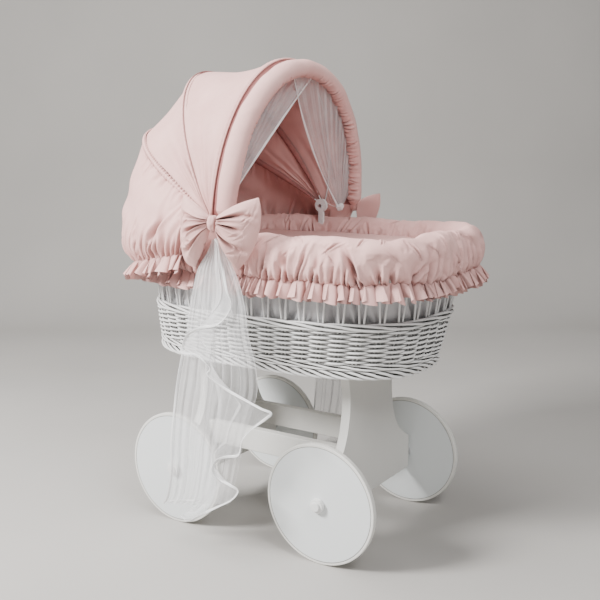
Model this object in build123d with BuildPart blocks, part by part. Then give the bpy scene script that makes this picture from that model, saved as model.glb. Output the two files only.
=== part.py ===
# A bassinet: a white painted wicker basket on a wooden stand with four plain disc wheels.
# Its rim wears a padded cotton cover with a frill, and a cotton canopy on three wire hoops
# folds back over the head end. Millimetres; +X is the foot end, +Z is up, and the origin
# is on the floor, in the middle of the whole length and width.
from build123d import *
import os
from math import asin, cos, pi, radians, sin

os.makedirs("parts", exist_ok=True)

# --- Driving dimensions ---------------------------------------------------------------

# Wheels
wheel_radius = 135
wheel_width = 12.5
tyre_depth = 6.7
joint_chamfer = 0.8
wheel_outer_y = 212.5
axle_radius = 4
axle_length = 82
axle_head_radius = 7
axle_head = 4
bush_radius = 8
bush_flange_radius = 13
bush_flange = 3
running_fit = 0.06
face_gap = 0.3
cap_radius = 15.5
cap_depth = 11
cap_step_radius = 10
cap_step = 5
cap_wall = 2.5

# Stand
stand_x = -12
wheelbase = 408
panel_thickness = 22
panel_bottom = 98
panel_top = 408
base_half_width = 190
rail_y = 95
rail_thickness = 20
rail_height = 55
rail_z = 202.5
dowel_radius = 4
dowel_length = 30
dowel_spacing = 27
batten_width = 30
batten_height = 20
batten_length = 180
screw_radius = 2
screw_head_radius = 4
screw_head = 2.5
screw_spacing = 120
screw_bite = 7

# Basket. An oval is a superellipse: centre x, half length, half width, and its exponent towards
# the foot and towards the head, where it is rounder.
base_z = 408
base_oval = (-11, 352, 199, 2.75, 2.75)
border_height = 20
border_width = 20
floor_thickness = 8
wall_top_z = 528
wall_top_oval = (5, 359, 234, 2.9, 2.75)
wall_thickness = 8
rim_z = 681
rim_rod_radius = 7
rim_oval = (16, 367, 242, 3.4, 2.7)
stake_radius = 2.3
stake_pairs = 46

# Bedding
liner_thickness = 2
liner_gap = 1
liner_rim_oval = (16, 353, 228, 3.6, 2.75)
liner_top = 668
mattress_height = 100
mattress_inset = 22
duvet_top = 680
duvet_oval = (14, 320, 194, 2.9, 2.7)
cover_z = 626
cover_oval = (16, 391, 266, 3.6, 2.75)
frill_drop = 34
frill_flare = 24
frill_thickness = 3

# Canopy. An arch is its half width, height and exponent; a hoop also has its angle above the
# horizontal towards the head.
pivot_x = -71
pivot_z = 743
bracket_y = 212
bracket_thickness = 8
bracket_radius = 17
stem_width = 14
clamp_radius = 11
eye_thickness = 3
eye_pitch = 4
eye_radius = 6
pivot_screw_radius = 2
pivot_head_radius = 4
pivot_nut = 2.4
wire_radius = 1.75
fabric = 2
fabric_foot = 26
rear_angle = 31.1
rear_arch = (227, 379, 2.38)
mid_angle = 60.7
mid_arch = (231, 380, 1.95)
front_angle = 94
front_arch = (268, 350, 1.96)
front_edge_forward = 32
front_wire_angle = 98
front_wire_arch = (240, 342, 2.1)
roll_angle = 95
roll_arch = (266, 333, 2.05)
roll_forward = 63
roll_long = 53
roll_thick = 36
roll_tilt = 18
# The bag behind the rear hoop: its widest line and its gathered hem, each from a front point
# (x, z) towards the head.
bulge_front = (-85, 715)
bulge_head = (-431, 690)
bulge_width = 283
bulge_fullness = 2.65
hem_front = (-100, 668)
hem_head = (-391, 612)
hem_width = 284
hem_fullness = 2.4
hem_frill_drop = 33
hem_frill_flare = 12
hem_frill_head = -431

# Bows and tulle
bow_x = 5
bow_z = 738
bow_y = 313
wing_reach = 104
wing_end_y = 298
wing_drop = 20
wing_end_height = 152
wing_end_thickness = 14
knot_width = 30
knot_height = 34
knot_thickness = 24
tulle = 2
tail_y = 297
tail_bottom = 56
veil_forward = {"near": 50, "far": 56}

sides = {"near": -1, "far": 1}
ends = {"foot": 1, "head": -1}


# --- Shapes used by several pieces ----------------------------------------------------

def save(part, name):
    part.label = name
    export_step(part, f"parts/{name}.step")


def signed_power(value, exponent):
    size = abs(value) ** exponent
    return size if value >= 0 else -size


def oval_point(oval, angle, grow=0):
    centre, half_length, half_width, foot_n, head_n = oval
    n = foot_n if cos(angle) > 0 else head_n
    x = centre + (half_length + grow) * signed_power(cos(angle), 2 / n)
    y = (half_width + grow) * signed_power(sin(angle), 2 / n)
    return x, y


def oval_between(low, high, share):
    return tuple(a + (b - a) * share for a, b in zip(low, high))


def oval_face(oval, z, grow=0, count=36):
    with BuildSketch(Plane.XY.offset(z)) as face:
        with BuildLine():
            Spline(*[oval_point(oval, 2 * pi * i / count, grow) for i in range(count)], periodic=True)
        make_face()
    return face.sketch


def oval_body(low, low_z, high, high_z, grow=0):
    """A solid with straight walls between two ovals."""
    with BuildPart() as body:
        add(loft([oval_face(low, low_z, grow), oval_face(high, high_z, grow)]))
    return body.part


def oval_path(oval, z, count=36):
    with BuildLine(Plane.XY.offset(z)) as path:
        Spline(*[oval_point(oval, 2 * pi * i / count) for i in range(count)], periodic=True)
    return path.wire()


def arch_plane(angle, forward=0):
    """A hoop's plane through the pivot axis: local X is +Y, local Y runs up the hoop."""
    lean = radians(angle)
    ahead = Vector(sin(lean), 0, cos(lean))
    return Plane(origin=Vector(pivot_x, 0, pivot_z) + ahead * forward, x_dir=(0, 1, 0), z_dir=ahead)


def arch_points(half_width, height, n, foot, count=15):
    """Points over an arch from its near foot to its far foot, in its own plane."""
    first = asin((foot / height) ** (n / 2))
    turns = [first + (pi - 2 * first) * i / (count - 1) for i in range(count)]
    return [(-half_width * signed_power(cos(a), 2 / n), height * sin(a) ** (2 / n)) for a in turns]


def band_face(plane, arch, foot=fabric_foot, thickness=fabric):
    """The cut through a sheet of fabric that lies over an arch."""
    half_width, height, n = arch
    outer = arch_points(half_width, height, n, foot)
    inner = arch_points(half_width - thickness, height - thickness, n, foot)
    with BuildSketch(plane) as band:
        with BuildLine():
            Spline(*outer)
            Spline(*inner)
            Line(outer[0], inner[0])
            Line(outer[-1], inner[-1])
        make_face()
    return band.sketch


# --- Stand ----------------------------------------------------------------------------

half_length = wheelbase / 2 - panel_thickness / 2
dowel_places = [
    (side * rail_y, rail_z + step) for side in (1, -1) for step in (dowel_spacing / 2, -dowel_spacing / 2)
]
axle_depth = axle_length - (wheel_outer_y - base_half_width)


def dowel_set(end):
    """The dowels, or their holes, at one end of both rails."""
    x = stand_x + end * half_length
    with BuildPart() as pins:
        with Locations(*[Location((x, y, z)) for y, z in dowel_places]):
            Cylinder(dowel_radius, dowel_length, rotation=(0, 90, 0))
    return pins.part


def panel_outline():
    """Half the outline of an end panel: a narrow neck, a hollow flank and a wide foot."""
    neck = [(108, panel_top), (103, 385), (97, 345), (97.5, 320), (103.5, 284)]
    flank = [(119, 242), (142, 211), (170, 191)]
    with BuildLine() as half:
        Spline(*neck, *flank)
        Polyline(flank[-1], (base_half_width, 179), (base_half_width, panel_bottom), (0, panel_bottom))
        Line((0, panel_top), neck[0])
        Line((0, panel_bottom), (0, panel_top))
    return half.line


def end_panel(end):
    """A board with blind dowel holes in its inner face and axle holes in its side edges."""
    x = stand_x + end * wheelbase / 2
    with BuildPart() as panel:
        with BuildSketch(Plane.YZ.offset(x)):
            with BuildLine():
                add(panel_outline())
            make_face()
            mirror(about=Plane.YZ)
        extrude(amount=panel_thickness / 2, both=True)
        with Locations(*[Location((x, side * base_half_width, wheel_radius)) for side in (1, -1)]):
            Cylinder(axle_radius, 2 * axle_depth, rotation=(90, 0, 0), mode=Mode.SUBTRACT)
        add(dowel_set(end), mode=Mode.SUBTRACT)
    return panel.part


def rail(side):
    with BuildPart() as board:
        with Locations((stand_x, side * rail_y, rail_z)):
            Box(2 * half_length, rail_thickness, rail_height)
        chamfer(board.edges().filter_by(Axis.X), 1)
        add(dowel_set(1), mode=Mode.SUBTRACT)
        add(dowel_set(-1), mode=Mode.SUBTRACT)
    return board.part


def rail_dowels():
    with BuildPart() as pins:
        add(dowel_set(1))
        add(dowel_set(-1))
    return pins.part


def floor_screws(end):
    """Screws up through a batten into the basket's floor board."""
    x = stand_x + end * (half_length - batten_width / 2)
    low = panel_top - batten_height
    with BuildPart() as screws:
        for side in (1, -1):
            with BuildSketch(Plane.XY.offset(low)):
                with Locations((x, side * screw_spacing / 2)):
                    Circle(screw_radius)
            extrude(amount=batten_height + screw_bite)
            with BuildSketch(Plane.XY.offset(low)):
                with Locations((x, side * screw_spacing / 2)):
                    Circle(screw_head_radius)
            extrude(amount=-screw_head)
    return screws.part


def batten_screws(end):
    """Screws through a batten into the inner face of its panel."""
    x = stand_x + end * (half_length - batten_width)
    plane = Plane(origin=(x, 0, panel_top - batten_height / 2), x_dir=(0, 1, 0), z_dir=(end, 0, 0))
    with BuildPart() as screws:
        for side in (1, -1):
            with BuildSketch(plane):
                with Locations((side * screw_spacing / 4, 0)):
                    Circle(screw_radius)
            extrude(amount=batten_width + screw_bite)
            with BuildSketch(plane):
                with Locations((side * screw_spacing / 4, 0)):
                    Circle(screw_head_radius)
            extrude(amount=-screw_head)
    return screws.part


def batten(end):
    """A strip along the top of a panel's inner face, that the basket is screwed to."""
    x = stand_x + end * (half_length - batten_width / 2)
    with BuildPart() as strip:
        with Locations((x, 0, panel_top - batten_height / 2)):
            Box(batten_width, batten_length, batten_height)
        add(floor_screws(end), mode=Mode.SUBTRACT)
        add(batten_screws(end), mode=Mode.SUBTRACT)
    return strip.part


def both_ends(make):
    with BuildPart() as pair:
        add(make(1))
        add(make(-1))
    return pair.part


for end_name, end in ends.items():
    with BuildPart() as panel_board:
        add(end_panel(end))
        add(batten_screws(end), mode=Mode.SUBTRACT)
    save(panel_board.part, f"end_panel_{end_name}")
    save(batten(end), f"basket_batten_{end_name}")
for side_name, side in sides.items():
    save(rail(side), f"rail_{side_name}")
save(rail_dowels(), "rail_dowels")
save(both_ends(floor_screws), "floor_screws")
save(both_ends(batten_screws), "batten_screws")


# --- Wheels ---------------------------------------------------------------------------

def wheel_plane(side, end, y):
    """A plane at a wheel's axle, facing outwards, at the distance y from the middle."""
    origin = (stand_x + end * wheelbase / 2, side * y, wheel_radius)
    return Plane(origin=origin, x_dir=(1, 0, 0), z_dir=(0, side, 0))


def ring(plane, outer, inner, length):
    with BuildPart() as tube:
        with BuildSketch(plane):
            Circle(outer)
            if inner:
                Circle(inner, mode=Mode.SUBTRACT)
        extrude(amount=length)
    return tube.part


def wheel_disc(plane):
    """A plain board disc with eased edges, bored for its bush."""
    with BuildPart() as disc:
        add(ring(plane, wheel_radius - tyre_depth, bush_radius, wheel_width))
        chamfer(disc.edges().filter_by(GeomType.CIRCLE).sort_by(SortBy.RADIUS)[-2:], joint_chamfer)
    return disc.part


def tyre(plane):
    """A band round the disc."""
    with BuildPart() as band:
        add(ring(plane, wheel_radius, wheel_radius - tyre_depth, wheel_width))
        fillet(band.edges().filter_by(GeomType.CIRCLE).sort_by(SortBy.RADIUS)[-2:], 2)
    return band.part


def hub_bush(plane, flange_plane):
    """A plastic sleeve with a flange against the disc's inner face."""
    bore = axle_radius + running_fit
    with BuildPart() as bush:
        add(ring(plane, bush_radius, bore, wheel_width))
        add(ring(flange_plane, bush_flange_radius, bore, bush_flange))
    return bush.part


def outer_face(part, side):
    return part.faces().sort_by(Axis.Y)[-1 if side > 0 else 0]


def hub_cap(plane, step_plane, side):
    """A two-step cap over the bolt's head, on the disc's outer face."""
    with BuildPart() as cap:
        add(ring(plane, cap_radius, 0, cap_depth))
        fillet(cap.edges().filter_by(GeomType.CIRCLE), 1.5)
        add(ring(step_plane, cap_step_radius, 0, cap_step))
        fillet(outer_face(cap, side).edges(), 1.2)
        add(ring(plane, cap_radius - cap_wall, 0, cap_depth - cap_wall), mode=Mode.SUBTRACT)
    return cap.part


def axle_bolt(plane, head_plane, side):
    with BuildPart() as bolt:
        add(ring(plane, axle_radius, 0, axle_length + 2 * face_gap))
        add(ring(head_plane, axle_head_radius, 0, axle_head))
        chamfer(outer_face(bolt, side).edges(), 0.8)
    return bolt.part


inner_y = wheel_outer_y - wheel_width
flange_y = inner_y - bush_flange
bolts = []
spacers = []
for side_name, side in sides.items():
    for end_name, end in ends.items():
        name = f"{side_name}_{end_name}"
        inner_plane = wheel_plane(side, end, inner_y)
        outer_plane = wheel_plane(side, end, wheel_outer_y)
        flange_plane = wheel_plane(side, end, flange_y)
        step_plane = wheel_plane(side, end, wheel_outer_y + cap_depth)
        head_y = wheel_outer_y + 2 * face_gap
        save(wheel_disc(inner_plane), f"wheel_disc_{name}")
        save(tyre(inner_plane), f"tyre_{name}")
        save(hub_bush(inner_plane, flange_plane), f"hub_bush_{name}")
        save(hub_cap(outer_plane, step_plane, side), f"hub_cap_{name}")
        shank_plane = wheel_plane(side, end, head_y - axle_length - 2 * face_gap)
        bolts.append(axle_bolt(shank_plane, wheel_plane(side, end, head_y), side))
        spacer_length = flange_y - face_gap - base_half_width
        spacer_plane = wheel_plane(side, end, base_half_width)
        spacers.append(ring(spacer_plane, bush_flange_radius, axle_radius, spacer_length))
for name, pieces in {"axle_bolts": bolts, "axle_spacers": spacers}.items():
    with BuildPart() as group:
        for piece in pieces:
            add(piece)
    save(group.part, name)


# --- Basket ---------------------------------------------------------------------------

wall_low_z = base_z + border_height


def base_border():
    """The rope of strands round the foot of the basket."""
    with BuildPart() as border:
        add(oval_body(base_oval, base_z, base_oval, wall_low_z))
        fillet(border.edges().group_by(Axis.Z)[0], 5)
        add(oval_body(base_oval, base_z, base_oval, wall_low_z, -border_width), mode=Mode.SUBTRACT)
    return border.part


def basket_floor():
    """The board inside the border, on the stand's battens."""
    with BuildPart() as board:
        add(oval_body(base_oval, base_z, base_oval, base_z + floor_thickness, -border_width))
        add(both_ends(floor_screws), mode=Mode.SUBTRACT)
    return board.part


def woven_wall():
    with BuildPart() as wall:
        add(oval_body(base_oval, wall_low_z, wall_top_oval, wall_top_z))
        inside = oval_body(base_oval, wall_low_z, wall_top_oval, wall_top_z, -wall_thickness)
        add(inside, mode=Mode.SUBTRACT)
    return wall.part


def rim_rod():
    path = oval_path(rim_oval, rim_z)
    with BuildPart() as rod:
        with BuildSketch(Plane(origin=path @ 0, z_dir=path % 0)):
            Circle(rim_rod_radius)
        sweep(path=path)
        add(both_brackets(), mode=Mode.SUBTRACT)
    return rod.part


def stakes():
    """Pairs of rods from the top of the wall to the rim, one nearly upright and one leaning."""
    low_z = wall_top_z + stake_radius / 2
    high_z = rim_z - rim_rod_radius - 3 * stake_radius
    step = 2 * pi / stake_pairs
    rods = []
    for i in range(stake_pairs):
        for start, lean in ((0, 0.3), (0.3, 0.15)):
            low = Vector(*oval_point(wall_top_oval, (i + start) * step, -wall_thickness / 2), low_z)
            high = Vector(*oval_point(rim_oval, (i + start - lean) * step), high_z)
            with BuildPart() as rod:
                with BuildSketch(Plane(origin=low, z_dir=high - low)):
                    Circle(stake_radius)
                extrude(amount=(high - low).length)
            rods.append(rod.part.solid())
    return Compound(rods)


# --- Bedding --------------------------------------------------------------------------

def liner():
    """The cotton bag inside the basket, from its floor up behind the open stakes."""
    floor_z = base_z + floor_thickness + 1
    outset = -wall_thickness - liner_gap
    with BuildPart() as bag:
        add(oval_body(base_oval, wall_low_z + 1, wall_top_oval, wall_top_z, outset))
        add(oval_body(base_oval, floor_z, base_oval, wall_low_z + 1, -border_width - liner_gap))
        top_face = oval_face(wall_top_oval, wall_top_z, outset)
        add(loft([top_face, oval_face(liner_rim_oval, liner_top)]))
        hollow = outset - liner_thickness
        add(oval_body(base_oval, wall_low_z + 3, wall_top_oval, wall_top_z, hollow), mode=Mode.SUBTRACT)
        add(
            oval_body(base_oval, floor_z + liner_thickness, base_oval, wall_low_z + 3, -border_width - 3),
            mode=Mode.SUBTRACT,
        )
        inner_top = oval_face(wall_top_oval, wall_top_z, hollow)
        inner_rim = oval_face(liner_rim_oval, liner_top, -liner_thickness)
        add(loft([inner_top, inner_rim]), mode=Mode.SUBTRACT)
    return bag.part


mattress_z = base_z + floor_thickness + 1 + liner_thickness + face_gap + border_height
mattress_oval = oval_between(base_oval, wall_top_oval, 0.1)


def mattress():
    with BuildPart() as pad:
        top_z = mattress_z + mattress_height
        add(oval_body(mattress_oval, mattress_z, mattress_oval, top_z, -mattress_inset))
        fillet(pad.edges(), 12)
    return pad.part


def duvet():
    """The folded duvet that fills the basket nearly to its rim."""
    low_z = mattress_z + mattress_height + 1
    with BuildPart() as quilt:
        add(oval_body(duvet_oval, low_z, duvet_oval, duvet_top))
        fillet(quilt.edges(), 14)
    return quilt.part


def cover_section():
    """The cut through the padded cover, which hangs over the rim: outwards is +X."""
    outside = [(0, cover_z), (9, 658), (2, 692), (-22, 710), (-48, 703), (-60, 682), (-62, 650)]
    inside = [(-50, 650), (-48, 680), (-40, 692), (-24, 697), (-11, 684), (-5, 655), (-12, cover_z)]
    with BuildLine() as edge:
        Spline(*outside)
        Line(outside[-1], inside[0])
        Spline(*inside)
        Line(inside[-1], outside[0])
    return edge.line


def cover_ring(section):
    """A ring whose section, drawn outwards from the cover's gathered edge, goes round the rim."""
    path = oval_path(cover_oval, 0)
    with BuildPart() as body:
        with BuildSketch(Plane(origin=path @ 0, x_dir=(1, 0, 0), z_dir=(0, -1, 0))):
            with BuildLine():
                add(section)
            make_face()
        sweep(path=path)
    return body.part


def frill_section():
    top = cover_z - 1
    with BuildLine() as edge:
        Polyline(
            (-6, top),
            (frill_flare - frill_thickness, top - frill_drop),
            (frill_flare, top - frill_drop),
            (-6 + frill_thickness, top),
            close=True,
        )
    return edge.line


def rim_cover():
    with BuildPart() as cover:
        add(cover_ring(cover_section()))
        add(both_brackets(), mode=Mode.SUBTRACT)
    return cover.part


# --- Canopy brackets and hoops --------------------------------------------------------

def across(side, x, y, z):
    """A plane facing outwards on one side of the basket."""
    return Plane(origin=(x, side * y, z), x_dir=(1, 0, 0), z_dir=(0, side, 0))


def bracket(side):
    """A plastic disc on a stem, clamped round the rim rod."""
    rod_y = rim_oval[2]
    foot_width = rod_y - bracket_y
    with BuildPart() as body:
        disc_plane = across(side, pivot_x, bracket_y, pivot_z)
        add(ring(disc_plane, bracket_radius, pivot_screw_radius, bracket_thickness))
        stem_height = pivot_z - bracket_radius + 3 - (rim_z - clamp_radius)
        stem_z = rim_z - clamp_radius + stem_height / 2
        with Locations((pivot_x, side * (bracket_y + bracket_thickness / 2), stem_z)):
            Box(stem_width, bracket_thickness, stem_height)
        with Locations((pivot_x, side * (bracket_y + foot_width / 2), rim_z)):
            Box(stem_width, foot_width, 2 * clamp_radius)
        with Locations((pivot_x, side * rod_y, rim_z)):
            Cylinder(clamp_radius, stem_width, rotation=(0, 90, 0))
        with Locations((pivot_x, side * rod_y, rim_z)):
            Cylinder(rim_rod_radius, 2 * stem_width, rotation=(0, 90, 0), mode=Mode.SUBTRACT)
    return body.part


def both_brackets():
    with BuildPart() as pair:
        add(bracket(1))
        add(bracket(-1))
    return pair.part


def pivot_fasteners(side):
    """A screw from inside through the bracket and the three eyes, and its nut outside."""
    head_y = bracket_y - pivot_nut
    nut_y = bracket_y + bracket_thickness + 3 * eye_pitch + face_gap
    length = nut_y + pivot_nut - bracket_y
    with BuildPart() as screw:
        add(ring(across(side, pivot_x, head_y, pivot_z), pivot_head_radius, 0, pivot_nut))
        add(ring(across(side, pivot_x, bracket_y, pivot_z), pivot_screw_radius, 0, length))
    nut = ring(across(side, pivot_x, nut_y, pivot_z), pivot_head_radius, pivot_screw_radius, pivot_nut)
    return screw.part, nut


def eye_y(order):
    """The inner face of a hoop's eye: the rear hoop's is next to the bracket."""
    return bracket_y + bracket_thickness + order * eye_pitch + eye_pitch - eye_thickness


def hoop(order, angle, arch, foot):
    """A wire bent over the canopy, with a flat eye at each end."""
    plane = arch_plane(angle)
    middle_y = eye_y(order) + eye_thickness / 2
    over = arch_points(*arch, foot)
    start = (-middle_y, eye_radius)
    with BuildPart() as wire:
        with BuildLine(plane) as path:
            Spline(start, *over, (middle_y, eye_radius))
        line = path.wire()
        with BuildSketch(Plane(origin=line @ 0, z_dir=line % 0)):
            Circle(wire_radius)
        sweep(path=line)
        for side in (1, -1):
            eye = across(side, pivot_x, eye_y(order), pivot_z)
            add(ring(eye, eye_radius, 0, eye_thickness))
            add(ring(eye, pivot_screw_radius + running_fit, 0, eye_thickness), mode=Mode.SUBTRACT)
    return wire.part


def under(arch):
    """The arch of a wire just inside a fabric arch."""
    half_width, height, n = arch
    inset = fabric + wire_radius + 0.5
    return half_width - inset, height - inset, n


fasteners = [pivot_fasteners(side) for side in sides.values()]
for name, pieces in zip(("pivot_screws", "pivot_nuts"), zip(*fasteners)):
    with BuildPart() as group:
        for piece in pieces:
            add(piece)
    save(group.part, name)
for side_name, side in sides.items():
    save(bracket(side), f"canopy_bracket_{side_name}")
save(hoop(0, rear_angle, under(rear_arch), 40), "rear_hoop")
save(hoop(1, mid_angle, under(mid_arch), 40), "mid_hoop")
save(hoop(2, front_wire_angle, front_wire_arch, 60), "front_hoop")


save(base_border(), "base_border")
save(basket_floor(), "basket_floor")
save(woven_wall(), "woven_wall")
save(rim_rod(), "rim_rod")
save(stakes(), "stakes")
save(liner(), "liner")
save(mattress(), "mattress")
save(duvet(), "duvet")
save(rim_cover(), "rim_cover")
save(cover_ring(frill_section()), "cover_frill")


# --- Canopy fabric --------------------------------------------------------------------

def slanted_plane(front, head, drop=0):
    """A nearly level plane: local X is +Y and local Y runs from a front point to the head."""
    along = Vector(head[0] - front[0], 0, head[1] - front[1]).normalized()
    origin = Vector(front[0], 0, front[1] - drop)
    return Plane(origin=origin, x_dir=(0, 1, 0), z_dir=Vector(0, 1, 0).cross(along))


def reach(front, head):
    return Vector(head[0] - front[0], head[1] - front[1]).length


def fabric_panel(low, high):
    with BuildPart() as panel:
        add(loft([low, high]))
    return panel.part


def rear_bag():
    """The fabric from the rear hoop down round the head end, to the gathered hem."""
    top = band_face(arch_plane(rear_angle - 0.2), rear_arch)
    bulge_arch = (bulge_width, reach(bulge_front, bulge_head), bulge_fullness)
    bulge = band_face(slanted_plane(bulge_front, bulge_head), bulge_arch, 6)
    hem_arch = (hem_width, reach(hem_front, hem_head), hem_fullness)
    hem = band_face(slanted_plane(hem_front, hem_head), hem_arch, 6)
    with BuildPart() as bag:
        add(loft([top, bulge, hem], ruled=True))
    return bag.part


def hem_frill():
    low_front = (hem_front[0], hem_front[1] - 1)
    low_head = (hem_head[0], hem_head[1] - 1)
    top_arch = (hem_width, reach(low_front, low_head), hem_fullness)
    top = band_face(slanted_plane(low_front, low_head), top_arch, 6)
    edge_head = (hem_frill_head, hem_head[1] - hem_frill_drop)
    edge_front = (hem_front[0], hem_front[1] - hem_frill_drop)
    edge_arch = (hem_width + hem_frill_flare, reach(edge_front, edge_head), hem_fullness)
    edge = band_face(slanted_plane(edge_front, edge_head), edge_arch, 6)
    return fabric_panel(top, edge)


def front_roll():
    """The padded roll round the front edge: an oval section, leaning inwards to the front."""
    plane = arch_plane(roll_angle, roll_forward)
    points = arch_points(*roll_arch, fabric_foot, 17)
    sections = []
    lean = radians(roll_tilt)
    for i, point in enumerate(points):
        before = points[max(i - 1, 0)]
        after = points[min(i + 1, len(points) - 1)]
        along = (plane.x_dir * (after[0] - before[0]) + plane.y_dir * (after[1] - before[1])).normalized()
        outward = plane.z_dir.cross(along)
        at = plane.from_local_coords(Vector(*point, 0))
        long_way = plane.z_dir * cos(lean) - outward * sin(lean)
        with BuildSketch(Plane(origin=at, x_dir=long_way, z_dir=along)) as section:
            Ellipse(roll_long / 2, roll_thick / 2)
        sections.append(section.sketch)
    with BuildPart() as roll:
        add(loft(sections))
    return roll.part


save(rear_bag(), "canopy_rear_bag")
save(hem_frill(), "canopy_hem_frill")
after_rear = band_face(arch_plane(rear_angle + 0.2), rear_arch)
before_mid = band_face(arch_plane(mid_angle - 0.1), mid_arch)
save(fabric_panel(after_rear, before_mid), "canopy_mid_panel")
after_mid = band_face(arch_plane(mid_angle + 0.1), mid_arch)
front_edge = band_face(arch_plane(front_angle, front_edge_forward), front_arch)
save(fabric_panel(after_mid, front_edge), "canopy_front_panel")
save(front_roll(), "canopy_front_roll")


# --- Bows and tulle -------------------------------------------------------------------

def upright_plane(x, side, y, z, facing):
    """A plane whose normal runs along X, with local X outwards from the basket."""
    return Plane(origin=(x, side * y, z), x_dir=(0, side, 0), z_dir=(facing, 0, 0))


def bow(side):
    """Two puffed wings that spread from the knot and bend back round the basket."""
    with BuildPart() as loops:
        for end in (1, -1):
            near_knot = upright_plane(bow_x + end * (knot_width / 2 + face_gap), side, bow_y, bow_z, end)
            with BuildSketch(near_knot) as pinch:
                Rectangle(10, knot_height - 8)
            middle_y = (bow_y + wing_end_y) / 2
            middle = upright_plane(bow_x + end * wing_reach * 0.6, side, middle_y, bow_z, end)
            with BuildSketch(middle) as puff:
                RectangleRounded(20, wing_end_height * 0.72, 8)
            tip = upright_plane(bow_x + end * wing_reach, side, wing_end_y, bow_z - wing_drop, end)
            with BuildSketch(tip) as edge:
                RectangleRounded(wing_end_thickness, wing_end_height, 5)
            add(loft([pinch.sketch, puff.sketch, edge.sketch], ruled=True))
    return loops.part


def bow_knot(side):
    with BuildPart() as knot:
        with Locations((bow_x, side * bow_y, bow_z)):
            Box(knot_width, knot_thickness, knot_height)
        fillet(knot.edges().filter_by(Axis.Z), 9)
    return knot.part


def veil_tail(side):
    """The tulle that falls from under a bow to just above the floor."""
    left = [(-24, 716), (-50, 560), (-100, 430), (-132, 260), (-160, 110), (-150, tail_bottom)]
    right = [(-60, 62), (20, 150), (60, 250), (78, 350), (46, 480), (14, 620), (0, 716)]
    with BuildPart() as sheet:
        with BuildSketch(Plane(origin=(0, side * tail_y, 0), x_dir=(1, 0, 0), z_dir=(0, -1, 0))):
            with BuildLine():
                Spline(*left)
                Line(left[-1], right[0])
                Spline(*right)
                Line(right[-1], left[0])
            make_face()
        extrude(amount=tulle / 2, both=True)
    return sheet.part


def veil_curtain(side, forward):
    """The tulle inside the canopy's opening, from its top to the knot at one side."""
    inset = roll_thick / 2 + 6
    half_width, height, n = roll_arch
    over = arch_points(half_width - inset, height - inset, n, 40)[8:]
    meeting = (-30, over[0][1] - 4)
    with BuildPart() as sheet:
        with BuildSketch(arch_plane(roll_angle, forward)):
            with BuildLine():
                Spline(meeting, *over)
                Spline(over[-1], (130, 150), meeting)
            make_face()
            if side < 0:
                mirror(about=Plane.YZ, mode=Mode.REPLACE)
        extrude(amount=tulle / 2, both=True)
    return sheet.part


for side_name, side in sides.items():
    save(bow(side), f"bow_{side_name}")
    save(bow_knot(side), f"bow_knot_{side_name}")
    save(veil_tail(side), f"veil_tail_{side_name}")
    save(veil_curtain(side, veil_forward[side_name]), f"veil_curtain_{side_name}")
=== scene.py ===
from math import cos, pi, radians, sin

import bpy
import numpy as np
from mathutils import Matrix, Vector


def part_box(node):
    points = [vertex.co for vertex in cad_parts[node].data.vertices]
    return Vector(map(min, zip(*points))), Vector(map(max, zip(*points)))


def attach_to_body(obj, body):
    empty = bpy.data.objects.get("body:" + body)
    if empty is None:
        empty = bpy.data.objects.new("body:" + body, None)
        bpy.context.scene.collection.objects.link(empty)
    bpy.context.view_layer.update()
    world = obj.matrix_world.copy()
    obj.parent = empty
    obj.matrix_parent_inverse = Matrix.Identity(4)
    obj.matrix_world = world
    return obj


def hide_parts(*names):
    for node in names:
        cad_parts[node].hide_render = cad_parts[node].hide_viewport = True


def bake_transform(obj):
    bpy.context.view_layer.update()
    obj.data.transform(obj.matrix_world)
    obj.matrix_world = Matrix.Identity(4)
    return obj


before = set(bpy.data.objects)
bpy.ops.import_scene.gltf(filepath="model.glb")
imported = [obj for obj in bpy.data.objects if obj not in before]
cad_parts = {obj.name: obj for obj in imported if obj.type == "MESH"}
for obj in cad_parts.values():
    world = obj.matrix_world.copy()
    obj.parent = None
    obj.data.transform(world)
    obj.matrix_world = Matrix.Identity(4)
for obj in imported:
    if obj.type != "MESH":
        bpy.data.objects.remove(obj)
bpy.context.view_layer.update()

# --- Camera, floor and lights ---------------------------------------------------------------
# The bassinet stands on a plain pale floor that rises behind it as a plain backdrop, in soft
# light from a large window on the left of the room.
eye = Vector((1.14684, -1.70009, 0.89148))
ahead = Vector((-0.54904, 0.81782, -0.17241)).normalized()
roll = radians(-0.4185)
level_right = ahead.cross(Vector((0, 0, 1))).normalized()
level_up = level_right.cross(ahead)
right = level_right * cos(roll) + level_up * sin(roll)
up = right.cross(ahead)
camera_data = bpy.data.cameras.new("camera")
camera_data.lens = 52.33
camera = bpy.data.objects.new("camera", camera_data)
camera.matrix_world = Matrix.Translation(eye) @ Matrix((right, up, -ahead)).transposed().to_4x4()
bpy.context.scene.collection.objects.link(camera)
bpy.context.scene.camera = camera


def node(tree, kind, inputs=(), **settings):
    """Adds a shader node; an input is set to a value, or linked when it is another's output."""
    made = tree.nodes.new("ShaderNode" + kind)
    for key, value in settings.items():
        setattr(made, key, value)
    for key, value in dict(inputs).items():
        if isinstance(value, bpy.types.NodeSocket):
            tree.links.new(value, made.inputs[key])
        else:
            made.inputs[key].default_value = value
    return made


def new_material(name):
    """An empty material: its node tree and its output's surface socket."""
    made = bpy.data.materials.new(name)
    made.use_nodes = True
    made.node_tree.nodes.clear()
    output = made.node_tree.nodes.new("ShaderNodeOutputMaterial")
    return made, made.node_tree, output.inputs["Surface"]


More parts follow.
